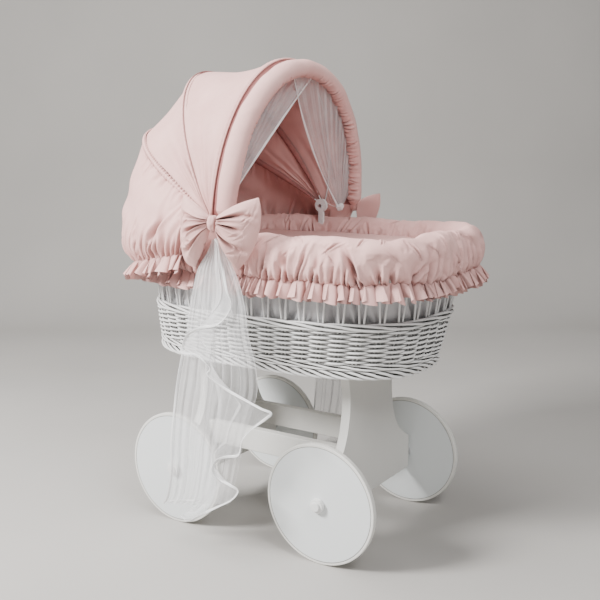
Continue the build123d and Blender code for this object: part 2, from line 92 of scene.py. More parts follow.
def mix(tree, factor, low, high):
    """A colour between two others."""
    made = node(tree, "Mix", {0: factor}, data_type="RGBA")
    for socket, value in ((made.inputs[6], low), (made.inputs[7], high)):
        if isinstance(value, bpy.types.NodeSocket):
            tree.links.new(value, socket)
        else:
            socket.default_value = (*value, 1)
    return made.outputs[2]


def grid_faces(rows, columns, close_rows=False, close_columns=False, start=0):
    """Quads over a grid of points whose rows follow each other."""
    i = np.arange(rows if close_rows else rows - 1)[:, None]
    j = np.arange(columns if close_columns else columns - 1)[None, :]
    after_i = (i + 1) % rows
    after_j = (j + 1) % columns
    quads = np.stack([i * columns + j, i * columns + after_j, after_i * columns + after_j,
        after_i * columns + j], -1)
    return quads.reshape(-1, 4) + start


def piece(name, points, faces, material, body, smooth=True):
    """A mesh object that rides on a body."""
    mesh = bpy.data.meshes.new(name)
    mesh.from_pydata(np.asarray(points).reshape(-1, 3).tolist(), [], np.asarray(faces).tolist())
    mesh.materials.append(material)
    if smooth:
        mesh.shade_smooth()
    made = bpy.data.objects.new(name, mesh)
    bpy.context.scene.collection.objects.link(made)
    if body:
        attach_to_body(made, body)
    return made


floor_paint, tree, surface = new_material("floor_paint")
where = node(tree, "TexCoord").outputs["Object"]
cloud = node(tree, "TexNoise", {"Vector": where, "Scale": 1.6, "Detail": 6}).outputs["Fac"]
tone = mix(tree, cloud, (0.42, 0.405, 0.385), (0.50, 0.48, 0.455))
tree.links.new(node(tree, "BsdfPrincipled", {"Base Color": tone, "Roughness": 0.85}).outputs[0], surface)
across = np.linspace(-5, 5, 3)
profile = [(-3.0, 0.0), (2.2, 0.0)]
profile += [(2.2 + 0.8 * sin(a), 0.8 - 0.8 * cos(a)) for a in np.linspace(0.1, pi / 2, 14)]
profile += [(3.0, 4.0)]
heading = Vector((ahead.x, ahead.y, 0)).normalized()
sideways = Vector((heading.y, -heading.x, 0))
sweep = [[heading * d + sideways * a + Vector((0, 0, z)) for a in across] for d, z in profile]
floor = piece("floor", sweep, grid_faces(len(profile), 3), floor_paint, None)


def area_light(name, place, aim, size, power, colour):
    data = bpy.data.lights.new(name, "AREA")
    data.size = size
    data.energy = power
    data.color = colour
    lamp = bpy.data.objects.new(name, data)
    lamp.location = place
    lamp.rotation_euler = (Vector(aim) - Vector(place)).to_track_quat("-Z", "Y").to_euler()
    bpy.context.scene.collection.objects.link(lamp)


area_light("window", (-1.5, -2.3, 2.2), (0, 0, 0.55), 0.85, 225, (1.0, 0.985, 0.97))
area_light("sky_panel", (-0.4, -0.5, 3.0), (0, 0, 0.4), 1.6, 58, (1.0, 0.99, 0.98))
area_light("doorway", (1.5, -0.95, 1.95), (-0.15, 0, 0.85), 0.8, 28, (1.0, 0.99, 0.98))
world = bpy.data.worlds.new("room")
world.use_nodes = True
world.node_tree.nodes["Background"].inputs["Color"].default_value = (0.82, 0.83, 0.85, 1)
world.node_tree.nodes["Background"].inputs["Strength"].default_value = 0.33
bpy.context.scene.world = world

# --- Stand ----------------------------------------------------------------------------------
# Two shaped end boards joined by two rails, of painted board: matt off-white, with faint roller
# texture, slightly darker and rubbed along the edges.


def painted(name, light, dark, rough, nodes, wear=0.35, texture=420):
    """Matt paint on board, for CAD pieces: roller texture, faint clouding and rubbed edges."""
    made, tree, surface = new_material(name)
    where = node(tree, "TexCoord").outputs["Object"]
    cloud = node(tree, "TexNoise",
        {"Vector": where, "Scale": 9, "Detail": 5, "Roughness": 0.6}).outputs["Fac"]
    rounded = node(tree, "Bevel", {"Radius": 0.0016}, samples=6).outputs[0]
    true = node(tree, "NewGeometry").outputs["True Normal"]
    meet = node(tree, "VectorMath", {0: rounded, 1: true}, operation="DOT_PRODUCT").outputs["Value"]
    edge = node(tree, "MapRange", {0: meet, 1: 0.99, 2: 0.8, 3: 0, 4: wear}).outputs[0]
    tone = mix(tree, cloud, dark, light)
    tone = mix(tree, edge, tone, [c * 0.8 for c in dark])
    roller = node(tree, "TexNoise", {"Vector": where, "Scale": texture, "Detail": 3}).outputs["Fac"]
    bump = node(tree, "Bump", {"Height": roller, "Strength": 0.12, "Distance": 0.0006, "Normal": rounded})
    shine = node(tree, "MapRange", {0: cloud, 3: rough - 0.06, 4: rough + 0.06}).outputs[0]
    shader = node(
        tree, "BsdfPrincipled", {"Base Color": tone, "Roughness": shine, "Normal": bump.outputs[0]}
    )
    tree.links.new(shader.outputs[0], surface)
    for name in nodes:
        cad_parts[name].data.materials.clear()
        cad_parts[name].data.materials.append(made)
    return made


SIDES = ("near", "far")
WHEELS = [f"{side}_{end}" for side in SIDES for end in ("foot", "head")]
stand_nodes = ["end_panel_foot", "end_panel_head", "rail_near", "rail_far", "basket_batten_foot",
    "basket_batten_head"]
painted("stand_paint", (0.79, 0.78, 0.745), (0.73, 0.72, 0.685), 0.5, stand_nodes + ["basket_floor"])
painted("dowel_beech", (0.62, 0.45, 0.27), (0.5, 0.34, 0.19), 0.6, ["rail_dowels"])

# --- Wheels ---------------------------------------------------------------------------------
# Plain board discs, sprayed white, each in a narrow cream band; between them runs a fine dark
# joint. A two-step white plastic cap covers the axle bolt.
discs = [f"wheel_disc_{wheel}" for wheel in WHEELS]
painted("wheel_paint", (0.77, 0.80, 0.80), (0.73, 0.76, 0.765), 0.42, discs, texture=600)
painted("tyre_band", (0.80, 0.79, 0.75), (0.75, 0.74, 0.70), 0.7, [f"tyre_{wheel}" for wheel in WHEELS], 0.2)
caps = [f"hub_cap_{wheel}" for wheel in WHEELS] + [f"canopy_bracket_{side}" for side in SIDES]
painted("cap_plastic", (0.83, 0.83, 0.82), (0.80, 0.80, 0.79), 0.32, caps, 0.15, 900)
painted("bush_plastic", (0.7, 0.7, 0.7), (0.66, 0.66, 0.66), 0.5, [f"hub_bush_{wheel}" for wheel in WHEELS])


def steel(name, colour, rough, nodes):
    """Zinc-plated steel with fine turning marks."""
    made, tree, surface = new_material(name)
    where = node(tree, "TexCoord").outputs["Object"]
    marks = node(tree, "TexNoise", {"Vector": where, "Scale": 900, "Detail": 4}).outputs["Fac"]
    shine = node(tree, "MapRange", {0: marks, 3: rough - 0.08, 4: rough + 0.12}).outputs[0]
    bump = node(tree, "Bump", {"Height": marks, "Strength": 0.2, "Distance": 0.0003}).outputs[0]
    tone = mix(tree, marks, [c * 0.85 for c in colour], colour)
    inputs = {"Base Color": tone, "Roughness": shine, "Normal": bump, "Metallic": 1.0}
    tree.links.new(node(tree, "BsdfPrincipled", inputs).outputs[0], surface)
    for name in nodes:
        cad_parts[name].data.materials.clear()
        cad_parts[name].data.materials.append(made)


fasteners = ["floor_screws", "batten_screws", "axle_bolts", "axle_spacers", "pivot_screws", "pivot_nuts"]
steel("zinc_steel", (0.66, 0.66, 0.67), 0.36, fasteners)

joint_dark, tree, surface = new_material("joint_gap")
where = node(tree, "TexCoord").outputs["Object"]
dust = node(tree, "TexNoise", {"Vector": where, "Scale": 90, "Detail": 3}).outputs["Fac"]
tone = mix(tree, dust, (0.16, 0.155, 0.145), (0.30, 0.29, 0.27))
bump = node(tree, "Bump", {"Height": dust, "Strength": 0.2, "Distance": 0.0003}).outputs[0]
tree.links.new(node(tree, "BsdfPrincipled",
    {"Base Color": tone, "Roughness": 0.8, "Normal": bump}).outputs[0], surface)
joint_turn = np.linspace(0, 2 * pi, 180, endpoint=False)
for wheel in WHEELS:
    low, high = (np.array(corner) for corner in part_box(f"wheel_disc_{wheel}"))
    middle = (low + high) / 2
    around = (high[0] - low[0]) / 2
    bands = []
    for face_y in (low[1], high[1]):
        for radius, lift in ((around - 0.0005, 0.0), (around - 0.0005, 0.0002), (around + 0.0005, 0.0002),
            (around + 0.0005, 0.0)):
            y = face_y + (lift if face_y > middle[1] else -lift)
            bands.append(np.stack([middle[0] + radius * np.cos(joint_turn), np.full(180, y),
                middle[2] + radius * np.sin(joint_turn)], -1))
    faces = np.concatenate([grid_faces(4, 180, True, True), grid_faces(4, 180, True, True, 720)])
    piece(f"joint_line_{wheel}", np.concatenate(bands), faces, joint_dark, f"wheel_{wheel}")

# --- Wicker ---------------------------------------------------------------------------------
# Willow rods 4 to 5 mm thick, painted white: pairs of stakes every 42 mm, woven in and out with
# single rods, with thicker twisted waling above and below and an open band up to the rim. The
# foot is a rope of long slanting strands. The paint is thick; its hollows are darkened with painted shade.
BASE = (-0.011, 0.352, 0.199, 2.75, 2.75)
WALL_TOP = (0.005, 0.359, 0.234, 2.9, 2.75)
RIM = (0.016, 0.367, 0.242, 3.4, 2.7)
COVER = (0.016, 0.391, 0.266, 3.6, 2.75)
PAIRS = 46


def signed_power(value, exponent):
    return np.sign(value) * np.abs(value) ** exponent


def oval(shape, share, grow=0.0):
    """Points at shares of the way round an oval, evenly by length, and their outward directions."""
    centre, half_length, half_width, foot_n, head_n = shape
    turn = np.linspace(0, 2 * pi, 4001)
    n = np.where(np.cos(turn) > 0, foot_n, head_n)
    x = half_length * signed_power(np.cos(turn), 2 / n)
    y = half_width * signed_power(np.sin(turn), 2 / n)
    steps = np.hypot(np.diff(x), np.diff(y))
    way = np.concatenate([[0], np.cumsum(steps)]) / steps.sum()
    share = np.mod(share, 1.0)
    at_x = np.interp(share, way, x)
    at_y = np.interp(share, way, y)
    n = np.where(at_x > 0, foot_n, head_n)
    out_x = np.sign(at_x) * (np.abs(at_x) / half_length) ** (n - 1) / half_length
    out_y = np.sign(at_y) * (np.abs(at_y) / half_width) ** (n - 1) / half_width
    size = np.hypot(out_x, out_y)
    out_x, out_y = out_x / size, out_y / size
    zero = np.zeros_like(at_x)
    points = np.stack([centre + at_x + grow * out_x, at_y + grow * out_y, zero], -1)
    return points, np.stack([out_x, out_y, zero], -1)


def between(low, high, share):
    return tuple(a + (b - a) * share for a, b in zip(low, high))


def tubes(name, paths, radii, material, body, upright=(0, 0, 1), closed=False, sides=8):
    """Round rods along paths, as one mesh; a rod's radius is a number or one for each point."""
    points, faces, count = [], [], 0
    turn = np.arange(sides) * 2 * pi / sides
    for path, radius in zip(paths, radii):
        path = np.asarray(path, float)
        if closed:
            along = np.roll(path, -1, 0) - np.roll(path, 1, 0)
        else:
            along = np.gradient(path, axis=0)
        along /= np.linalg.norm(along, axis=1)[:, None]
        side = np.cross(along, upright)
        side /= np.linalg.norm(side, axis=1)[:, None]
        over = np.cross(side, along)
        radius = np.broadcast_to(radius, len(path))[:, None, None]
        ring = side[:, None] * np.cos(turn)[None, :, None] + over[:, None] * np.sin(turn)[None, :, None]
        points.append((path[:, None] + ring * radius).reshape(-1, 3))
        faces.append(grid_faces(len(path), sides, closed, True, count))
        count += len(path) * sides
    return piece(name, np.concatenate(points), np.concatenate(faces), material, body)


willow, tree, surface = new_material("painted_willow")
where = node(tree, "TexCoord").outputs["Object"]
blotch = node(tree, "TexNoise", {"Vector": where, "Scale": 60, "Detail": 4}).outputs["Fac"]
# painted shade: the willow darkens towards near-black where ambient occlusion finds a hollow or gap
hollow = node(tree, "AmbientOcclusion", {"Distance": 0.013}, samples=6).outputs["AO"]
hollow_shade = node(tree, "MapRange", {0: hollow, 1: 0.16, 2: 0.70, 3: 0.97, 4: 0.0}).outputs[0]
tone = mix(tree, blotch, (0.83, 0.83, 0.82), (0.92, 0.92, 0.915))
tone = mix(tree, hollow_shade, tone, (0.10, 0.095, 0.088))
grain = node(tree, "TexNoise", {"Vector": where, "Scale": 320, "Detail": 5}).outputs["Fac"]
bump = node(tree, "Bump", {"Height": grain, "Strength": 0.35, "Distance": 0.0008}).outputs[0]
shine = node(tree, "MapRange", {0: blotch, 3: 0.38, 4: 0.55}).outputs[0]
inputs = {"Base Color": tone, "Roughness": shine, "Normal": bump}
tree.links.new(node(tree, "BsdfPrincipled", inputs).outputs[0], surface)

rng = np.random.default_rng(11)
weave_low, weave_high, weave_rows = 0.4405, 0.5165, 14
share = np.linspace(0, 1, PAIRS * 12, endpoint=False)
paths, radii = [], []
for row in range(weave_rows):
    z = weave_low + (weave_high - weave_low) * (row + 0.5) / weave_rows
    level = (z - 0.428) / 0.1
    wave = signed_power(np.cos(pi * (PAIRS * share + row)), 0.8)
    sway = 0.0006 * np.sin(2 * pi * (3 * share + rng.random())) + 0.0004 * np.sin(2 * pi * (11 * share
        + rng.random()))
    at, out = oval(between(BASE, WALL_TOP, level), share, -0.0045)
    at = at + out * (0.0052 * wave)[:, None]
    at[:, 2] = z + sway + rng.normal(0, 0.0003)
    paths.append(at)
    radii.append(0.00262 + 0.0002 * np.sin(2 * pi * (5 * share + rng.random())))
tubes("weavers", paths, radii, willow, "root", closed=True)


def rope(name, shape, grow, z, strands, turns, size, height, rod, lag=0.0):
    """A rope of rods twisted round each other, that follows an oval."""
    share = np.linspace(0, 1, 1200, endpoint=False)
    at, out = oval(shape, share, grow)
    paths = []
    for strand in range(strands):
        turn = 2 * pi * (turns * share + strand / strands + lag)
        swing = signed_power(np.cos(turn), 0.85)
        path = at + out * (size * swing)[:, None]
        path[:, 2] = z + height * signed_power(np.sin(turn), 0.85)
        paths.append(path)
    return tubes(name, paths, [rod] * strands, willow, "root", closed=True)


rope("top_waling", WALL_TOP, -0.0030, 0.5268, 4, -6, 0.0036, 0.0066, 0.0029)
rope("lower_waling", between(BASE, WALL_TOP, 0.08), -0.0035, 0.4345, 4, -8, 0.0034, 0.0055, 0.0025, 0.1)
rope("foot_back_strands", BASE, -0.014, 0.4185, 3, -7, 0.0035, 0.0045, 0.0034, 0.3)
foot_rope = rope("foot_rope", BASE, -0.0062, 0.4172, 5, -12, 0.0064, 0.0080, 0.0031)
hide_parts("base_border")

paths, radii = [], []
for pair in range(PAIRS):
    for order in (-1, 1):
        jitter = rng.normal(0, 0.0008)
        low_share = pair / PAIRS + order * 0.0022
        high_share = low_share + order * 0.0052 + jitter - 0.0065
        path = []
        for z in (0.424, 0.46, 0.50, 0.531):
            level = (z - 0.428) / 0.1
            at = oval(between(BASE, WALL_TOP, level), np.array([low_share]), -0.0062)[0][0]
            path.append((at[0], at[1], z))
        for step in (0.25, 0.5, 0.75, 0.97):
            turn = low_share + (high_share - low_share) * step
            shape = between(WALL_TOP, RIM, step)
            at, out = oval(shape, np.array([turn]), -0.004)
            bow_out = 0.0022 * sin(pi * step) * (1 + jitter * 300)
            path.append((*(at[0] + out[0] * bow_out)[:2], 0.531 + 0.143 * step))
        path = np.array(path)
        fine = np.linspace(0, len(path) - 1, 26)
        path = np.stack([np.interp(fine, np.arange(len(path)), path[:, k]) for k in range(3)], -1)
        paths.append(path)
        radii.append(np.linspace(0.0026, 0.0021, len(path)))
stakes = tubes("stake_rods", paths, radii, willow, "root", upright=(0.6, 0.8, 0))
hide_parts("stakes", "woven_wall")
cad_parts["rim_rod"].data.materials.clear()
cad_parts["rim_rod"].data.materials.append(willow)

# --- Liner and bedding ----------------------------------------------------------------------
# A loose bag of thin grey-white cotton lines the basket and shows in soft folds behind the open
# stakes. On a foam mattress lies a folded duvet in the same pink cotton as the cover, smooth and
# gently crowned, that fills the basket to its rim.


def ripple(points, wavelength, seed, waves=26):
    """Smooth random heights, mostly within -1 to 1, that change over about the wavelength."""
    draw = np.random.default_rng(seed)
    directions = draw.normal(size=(waves, 3))
    directions /= np.linalg.norm(directions, axis=1)[:, None]
    lengths = wavelength * draw.uniform(0.65, 1.7, waves)
    phases = draw.uniform(0, 2 * pi, waves)
    turns = np.asarray(points) @ (directions * (2 * pi / lengths)[:, None]).T + phases
    return np.sin(turns).sum(-1) * (1.3 / waves) ** 0.5 / 1.6


def creases(s, t, marks, around=None):
    """Heights of folds in cloth; s and t are lengths across and up it. A mark is a fold's place,
    lean, start, length, width and depth: a groove between two soft ridges, widest at its far end."""
    height = np.zeros_like(s)
    for at, lean, start, length, width, depth in marks:
        v = (t - start) / length
        u = s - at - lean * (t - start)
        if around:
            u = np.mod(u + around / 2, around) - around / 2
        inside = (v > -0.2) & (v < 1) & (np.abs(u) < 8 * width)
        if not inside.any():
            continue
        v, u = v[inside], np.abs(u[inside])
        u = u / (width * (0.55 + 1.3 * np.clip(v, 0, 1)))
        window = np.clip(v * 5 + 1, 0, 1) * np.clip((1 - v) * 1.7, 0, 1) ** 1.3
        height[inside] += depth * window * (0.45 * np.exp(-((u - 1.9) ** 2)) - np.exp(-(u**2)))
    return height


def cotton(name, light, dark, weave=0.00075, crumple=0.5, sheen=0.25, see_through=0.0):
    """Plain cotton: a fine over-and-under weave, faint creases, slightly uneven dye, and painted shade in its
    hollows and folds.
    """
    made, tree, surface = new_material(name)
    where = node(tree, "TexCoord").outputs["Object"]
    cloud = node(tree, "TexNoise",
        {"Vector": where, "Scale": 14, "Detail": 5, "Roughness": 0.65}).outputs["Fac"]
    threads = []
    for direction in "XYZ":
        inputs = {"Vector": where, "Scale": 0.314 / weave, "Distortion": 0.6, "Detail": 1.0}
        threads.append(node(tree, "TexWave", inputs, bands_direction=direction).outputs["Fac"])
    some = node(tree, "Math", {0: threads[0], 1: threads[1]}, operation="ADD").outputs[0]
    every = node(tree, "Math", {0: some, 1: threads[2]}, operation="ADD").outputs[0]
    fleck = node(tree, "TexNoise", {"Vector": where, "Scale": 700, "Detail": 2}).outputs["Fac"]
    tone = mix(tree, node(tree, "MapRange", {0: cloud, 1: 0.3, 2: 0.7}).outputs[0], dark, light)
    tone = mix(tree, node(tree, "MapRange", {0: fleck, 3: 0.0, 4: 0.16}).outputs[0], tone,
        [c * 0.7 for c in dark])
    # painted shade: the cloth darkens where ambient occlusion finds a hollow or fold
    hollow = node(tree, "AmbientOcclusion", {"Distance": 0.022}, samples=5).outputs["AO"]
    shade = node(tree, "MapRange", {0: hollow, 1: 0.3, 2: 0.85, 3: 0.8, 4: 0.0}).outputs[0]
    tone = mix(tree, shade, tone, [c * 0.4 for c in dark])
    folds = node(
        tree, "TexNoise", {"Vector": where, "Scale": 17, "Detail": 3, "Roughness": 0.55, "Distortion": 0.8},
        noise_type="RIDGED_MULTIFRACTAL",
    ).outputs["Fac"]
    broad = node(tree, "Bump", {"Height": folds, "Strength": crumple, "Distance": 0.0022}).outputs[0]
    fine = node(tree, "Bump",
        {"Height": every, "Strength": 0.3, "Distance": 0.00025, "Normal": broad}).outputs[0]
    inputs = {"Base Color": tone, "Roughness": 0.88, "Normal": fine, "Sheen Weight": sheen,
        "Sheen Roughness": 0.5}
    inputs["Sheen Tint"] = (*light, 1)
    inputs["Alpha"] = 1 - see_through
    tree.links.new(node(tree, "BsdfPrincipled", inputs).outputs[0], surface)
    return made


PINK = (0.81, 0.50, 0.465)
PINK_SHADE = (0.74, 0.43, 0.40)
pink_cotton = cotton("pink_cotton", PINK, PINK_SHADE, crumple=0.9)
liner_cotton = cotton("liner_cotton", (0.80, 0.80, 0.81), (0.74, 0.74, 0.755), crumple=0.9)
mattress_ticking = cotton("mattress_ticking", (0.82, 0.81, 0.8), (0.76, 0.75, 0.74))


def smooth_curve(points, count):
    """Points evenly spaced along a smooth line through a few points."""
    points = np.asarray(points, float)
    first = 2 * points[0] - points[1]
    last = 2 * points[-1] - points[-2]
    knots = np.vstack([first, points, last])
    t = np.linspace(0, 1, 24, endpoint=False)[:, None]
    parts = []
    for i in range(len(points) - 1):
        a, b, c, d = knots[i : i + 4]
        parts.append(
            0.5 * (2 * b + (c - a) * t + (2 * a - 5 * b + 4 * c - d) * t**2 + (3 * b - 3 * c + d - a) * t**3)
        )
    fine = np.vstack([*parts, points[-1:]])
    way = np.concatenate([[0], np.cumsum(np.linalg.norm(np.diff(fine, axis=0), axis=1))])
    at = np.linspace(0, way[-1], count)
    return np.stack([np.interp(at, way, fine[:, k]) for k in range(fine.shape[1])], -1), at


rng = np.random.default_rng(5)
rows, columns = 34, 900
share = np.linspace(0, 1, columns, endpoint=False)
sheet_points, sheet_out = [], []
for level in np.linspace(0, 1, rows):
    z = 0.432 + 0.236 * level
    shape = between(BASE, WALL_TOP, (z - 0.428) / 0.1) if z < 0.528 else between(WALL_TOP, RIM,
        (z - 0.528) / 0.153)
    at, out = oval(shape, share, -0.0148 - 0.008 * np.clip((0.535 - z) / 0.02, 0, 1))
    at[:, 2] = z
    sheet_points.append(at)
    sheet_out.append(out)
sheet_points, sheet_out = np.array(sheet_points), np.array(sheet_out)
length = share[None, :] * 2.1 + np.zeros((rows, 1))
height_up = sheet_points[..., 2] - 0.432
marks = [
    (rng.uniform(0, 2.1), rng.uniform(-0.5, 0.5), rng.uniform(0.02, 0.12), rng.uniform(0.07, 0.16),
     rng.uniform(0.006, 0.014), rng.uniform(0.004, 0.0105))
    for _ in range(70)
]
fold = creases(length, height_up, marks, 2.1) + 0.0028 * ripple(sheet_points, 0.055, 3)
sheet_points = sheet_points + sheet_out * np.clip(fold, -0.012, 0.0046)[..., None]
liner = piece("liner_bag", sheet_points, grid_faces(rows, columns, False, True), liner_cotton, "root")
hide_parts("liner")


def pad(name, shape, low, high, crown, edge, wrinkle, seed, material):
    """A soft pad with rounded sides and a slightly crowned top and base."""
    turns, rings = 420, 64
    share = np.linspace(0, 1, turns, endpoint=False)
    rim, _ = oval(shape, share)
    middle = np.array([shape[0], 0, 0])
    thick = (high - low) / 2
    points = []
    for v in np.linspace(-1, 1, 2 * rings + 1):
        angle = v * pi / 2
        reach = abs(cos(angle)) ** 0.22
        level = np.sign(v) * (1 - abs(cos(angle)) ** 1.7) ** 0.5 if abs(cos(angle)) > edge else np.sign(v)
        inner = reach if abs(cos(angle)) > edge else abs(cos(angle)) / edge * edge**0.22
        ring = middle + (rim - middle) * inner
        ring[:, 2] = (low + high) / 2 + level * thick + np.sign(v) * crown * (1 - inner**2)
        points.append(ring)
    points = np.array(points)
    bump = wrinkle * ripple(points, 0.12, seed) + wrinkle * 0.4 * ripple(points, 0.045, seed + 1)
    points[..., 2] += bump * np.clip(np.linspace(-1, 1, 2 * rings + 1) * 3, 0, 1)[:, None]
    return piece(name, points, grid_faces(2 * rings + 1, turns, False, True), material, "root")


def settle(made, pressure, slack, most, held=None):
    """Let a sewn cover settle over its filling by a short cloth simulation; held vertices stay."""
    cloth = made.modifiers.new("settle", "CLOTH")
    if held is not None:
        group = made.vertex_groups.new(name="held")
        group.add([int(i) for i in held], 1.0, "REPLACE")
        cloth.settings.vertex_group_mass = "held"
    cloth.settings.quality = 4
    cloth.settings.mass = 0.2
    cloth.settings.tension_stiffness = 12
    cloth.settings.compression_stiffness = 12
    cloth.settings.bending_stiffness = 0.15
    cloth.settings.shrink_min = -slack
    cloth.settings.use_pressure = True
    cloth.settings.uniform_pressure_force = pressure
    cloth.settings.effector_weights.gravity = 0
    before = np.empty(len(made.data.vertices) * 3)
    made.data.vertices.foreach_get("co", before)
    for step in range(1, 15):
        bpy.context.scene.frame_set(step)
    after = np.empty_like(before)
    settled = made.evaluated_get(bpy.context.evaluated_depsgraph_get())
    settled.data.vertices.foreach_get("co", after)
    made.modifiers.remove(cloth)
    bpy.context.scene.frame_set(1)
    move = (after - before).reshape(-1, 3)
    size = np.linalg.norm(move, axis=1)
    move *= np.minimum(1, most / np.maximum(size, 1e-9))[:, None]
    made.data.vertices.foreach_set("co", before + move.ravel())
    made.data.update()


mattress = pad("mattress_pad", (-0.009, 0.328, 0.176, 2.75, 2.75), 0.44, 0.538, 0.0, 0.35, 0.0008, 31,
    mattress_ticking)
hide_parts("mattress")
duvet = pad("duvet_pad", (0.014, 0.326, 0.201, 3.1, 2.7), 0.541, 0.6785, 0.005, 0.6, 0.0018, 41, pink_cotton)
settle(duvet, 1.5, 0.02, 0.005)
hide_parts("duvet")

# --- Rim cover and its frill ----------------------------------------------------------------
# A padded pink cotton cover with elastic inside and below hangs over the basket's rim: full and
# rounded outside, with long folds rising from its gathered lower edge, small puckers on the crown
# and finer gathers inside. Below it hangs a single frill of the same cotton.
section, way = smooth_curve(
    [(-9, 625), (-1, 628), (6, 640), (9, 660), (7, 682), (-4, 700), (-24, 710), (-44, 705), (-56, 690),
        (-62, 668),
     (-61, 645)], 84,
)
section, way = section / 1000, way / 1000
count = 1200
share = np.linspace(0, 1, count, endpoint=False)
slope = np.gradient(section, axis=0)
slope /= np.linalg.norm(slope, axis=1)[:, None]
points, normals = [], []
for (offset, z), (along_out, along_up) in zip(section, slope):
    at, out = oval(COVER, share, offset)
    at[:, 2] = z
    points.append(at)
    outward = out * along_up
    outward[:, 2] = -along_out
    normals.append(outward)
points, normals = np.array(points), np.array(normals)
round_cover = 2.24
length = share[None, :] * round_cover + np.zeros((len(way), 1))
height_up = way[:, None] + np.zeros((1, count))
rng = np.random.default_rng(23)


def spread(total, pitch, jitter=0.35):
    """Places at a roughly even pitch along a length."""
    count = int(total / pitch)
    return (np.arange(count) + rng.uniform(-jitter, jitter, count)) * total / count


marks = [
    (at, rng.normal(0.0, 0.28), -0.004, rng.uniform(0.045, 0.125), rng.uniform(0.0024, 0.0062),
        rng.uniform(0.005, 0.0125))
    for at in spread(round_cover, 0.024)
]
marks += [
    (at, rng.normal(0.1, 0.7), rng.uniform(0.05, 0.10), rng.uniform(0.02, 0.055), rng.uniform(0.0018, 0.0036),
     rng.uniform(0.002, 0.006))
    for at in spread(round_cover, 0.04)
]
flipped = way[-1] - height_up
marks_inside = [
    (at, rng.normal(0, 0.3), 0.0, rng.uniform(0.03, 0.08), rng.uniform(0.002, 0.0045),
        rng.uniform(0.0035, 0.0095))
    for at in spread(round_cover, 0.028)
]
gather = np.exp(-height_up / 0.012) + 0.8 * np.exp(-flipped / 0.014)
fine = np.sin(length * 2 * pi / 0.0093 + 2.5 * ripple(points, 0.08, 7))
relief = creases(length, height_up, marks, round_cover) + creases(length, flipped, marks_inside, round_cover)
relief += 0.004 * ripple(points, 0.13, 8) + 0.002 * ripple(points, 0.045, 9) + 0.0014 * gather * fine
points = points + normals * relief[..., None]
cover = piece("padded_rim_cover", points, grid_faces(len(way), count, False, True), pink_cotton, "root")
sewn = np.arange(len(way) * count).reshape(len(way), count)
settle(cover, 1.2, 0.05, 0.005, np.concatenate([sewn[:4].ravel(), sewn[-4:].ravel()]))
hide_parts("rim_cover")


def frill(name, at_share, top, drop, flare, pitch, seed, place, body="root", closed=True, ruffle=0.0155):
    """A gathered strip; place(share, outward) gives the points and outward directions of its line."""
    draw = np.random.default_rng(seed)
    total = at_share
    pleats = int(total / pitch)
    widths = draw.uniform(0.4, 1.7, pleats)
    edges = np.concatenate([[0], np.cumsum(widths)]) / widths.sum()
    count = int(total / 0.0013)
    share = np.linspace(0, 1, count, endpoint=not closed)
    phase = np.interp(share, edges, np.arange(pleats + 1) * 2 * pi)
    amount = np.interp(share, edges, np.append(draw.uniform(0.6, 1.25, pleats), 0.9))
    fold = np.interp(share, edges, np.append(draw.uniform(-0.4, 1.3, pleats), 0.5))
    rows = []
    levels = np.linspace(0, 1, 15)
    for t in levels:
        wide = amount * (0.0020 + (ruffle - 0.0020) * t**0.7)
        bent = phase + 0.7 * np.sin(0.37 * phase + seed) * t
        out = flare * t**0.85 + wide * (np.sin(bent)
            + 0.28 * np.sin(2 * bent + 1.3)) - 0.0006 * np.sin(3 * phase) * (1 - t)
        shift = 0.52 * (total / pleats) * np.sin(2 * phase + 0.3) * fold * t**0.6
        line, outward = place(share + shift / total, out)
        down = drop * (t - 0.2 * t * np.sin(phase + 0.8) * amount)
        line = line.copy()
        line[:, 2] = line[:, 2] + top - down
        rows.append(line)
    rows = np.array(rows)
    made = piece(name, rows, grid_faces(len(levels), count, False, closed), pink_cotton, body)
    return made


def cover_line(share, out):
    at, outward = oval(COVER, share, 0)
    return at + outward * (out - 0.004)[:, None], outward


cover_ruffle = frill("cover_ruffle", 2.2, 0.6285, 0.036, 0.0165, 0.0235, 61, cover_line)
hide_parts("cover_frill")

# --- Canopy brackets and hoops --------------------------------------------------------------
# White plastic brackets clamp round the rim rod inside the cover. Three white-coated wire hoops
# turn on them, each in a sewn channel of the canopy.
painted("hoop_coat", (0.82, 0.82, 0.81), (0.76, 0.76, 0.75), 0.3, ["rear_hoop", "mid_hoop", "front_hoop"],
    0.1, 1200)

# --- Canopy ---------------------------------------------------------------------------------
# One skin of pink cotton over the hoops. From the rear hoop it hangs as a full bag round the head
# end down to elastic and a frill; between the hoops it is stretched, with shallow folds that fan
# from the pivots. The rear hoop's channel is double stitched and puckered, the middle one is a
# fine corded seam, and the front edge is piped, with a strip behind the roll. The stitches, the
# cord, that strip and the channels' inner sides are darker pink: painted shade of seams and gaps.
PIVOT = Vector((-0.071, 0, 0.743))
REAR = (31.1, 0.0, 0.227, 0.379, 2.38)
MID = (60.7, 0.0, 0.231, 0.380, 1.95)
FRONT = (94.0, 0.032, 0.268, 0.350, 1.96)
ROLL = (95.0, 0.067, 0.266, 0.333, 2.05)


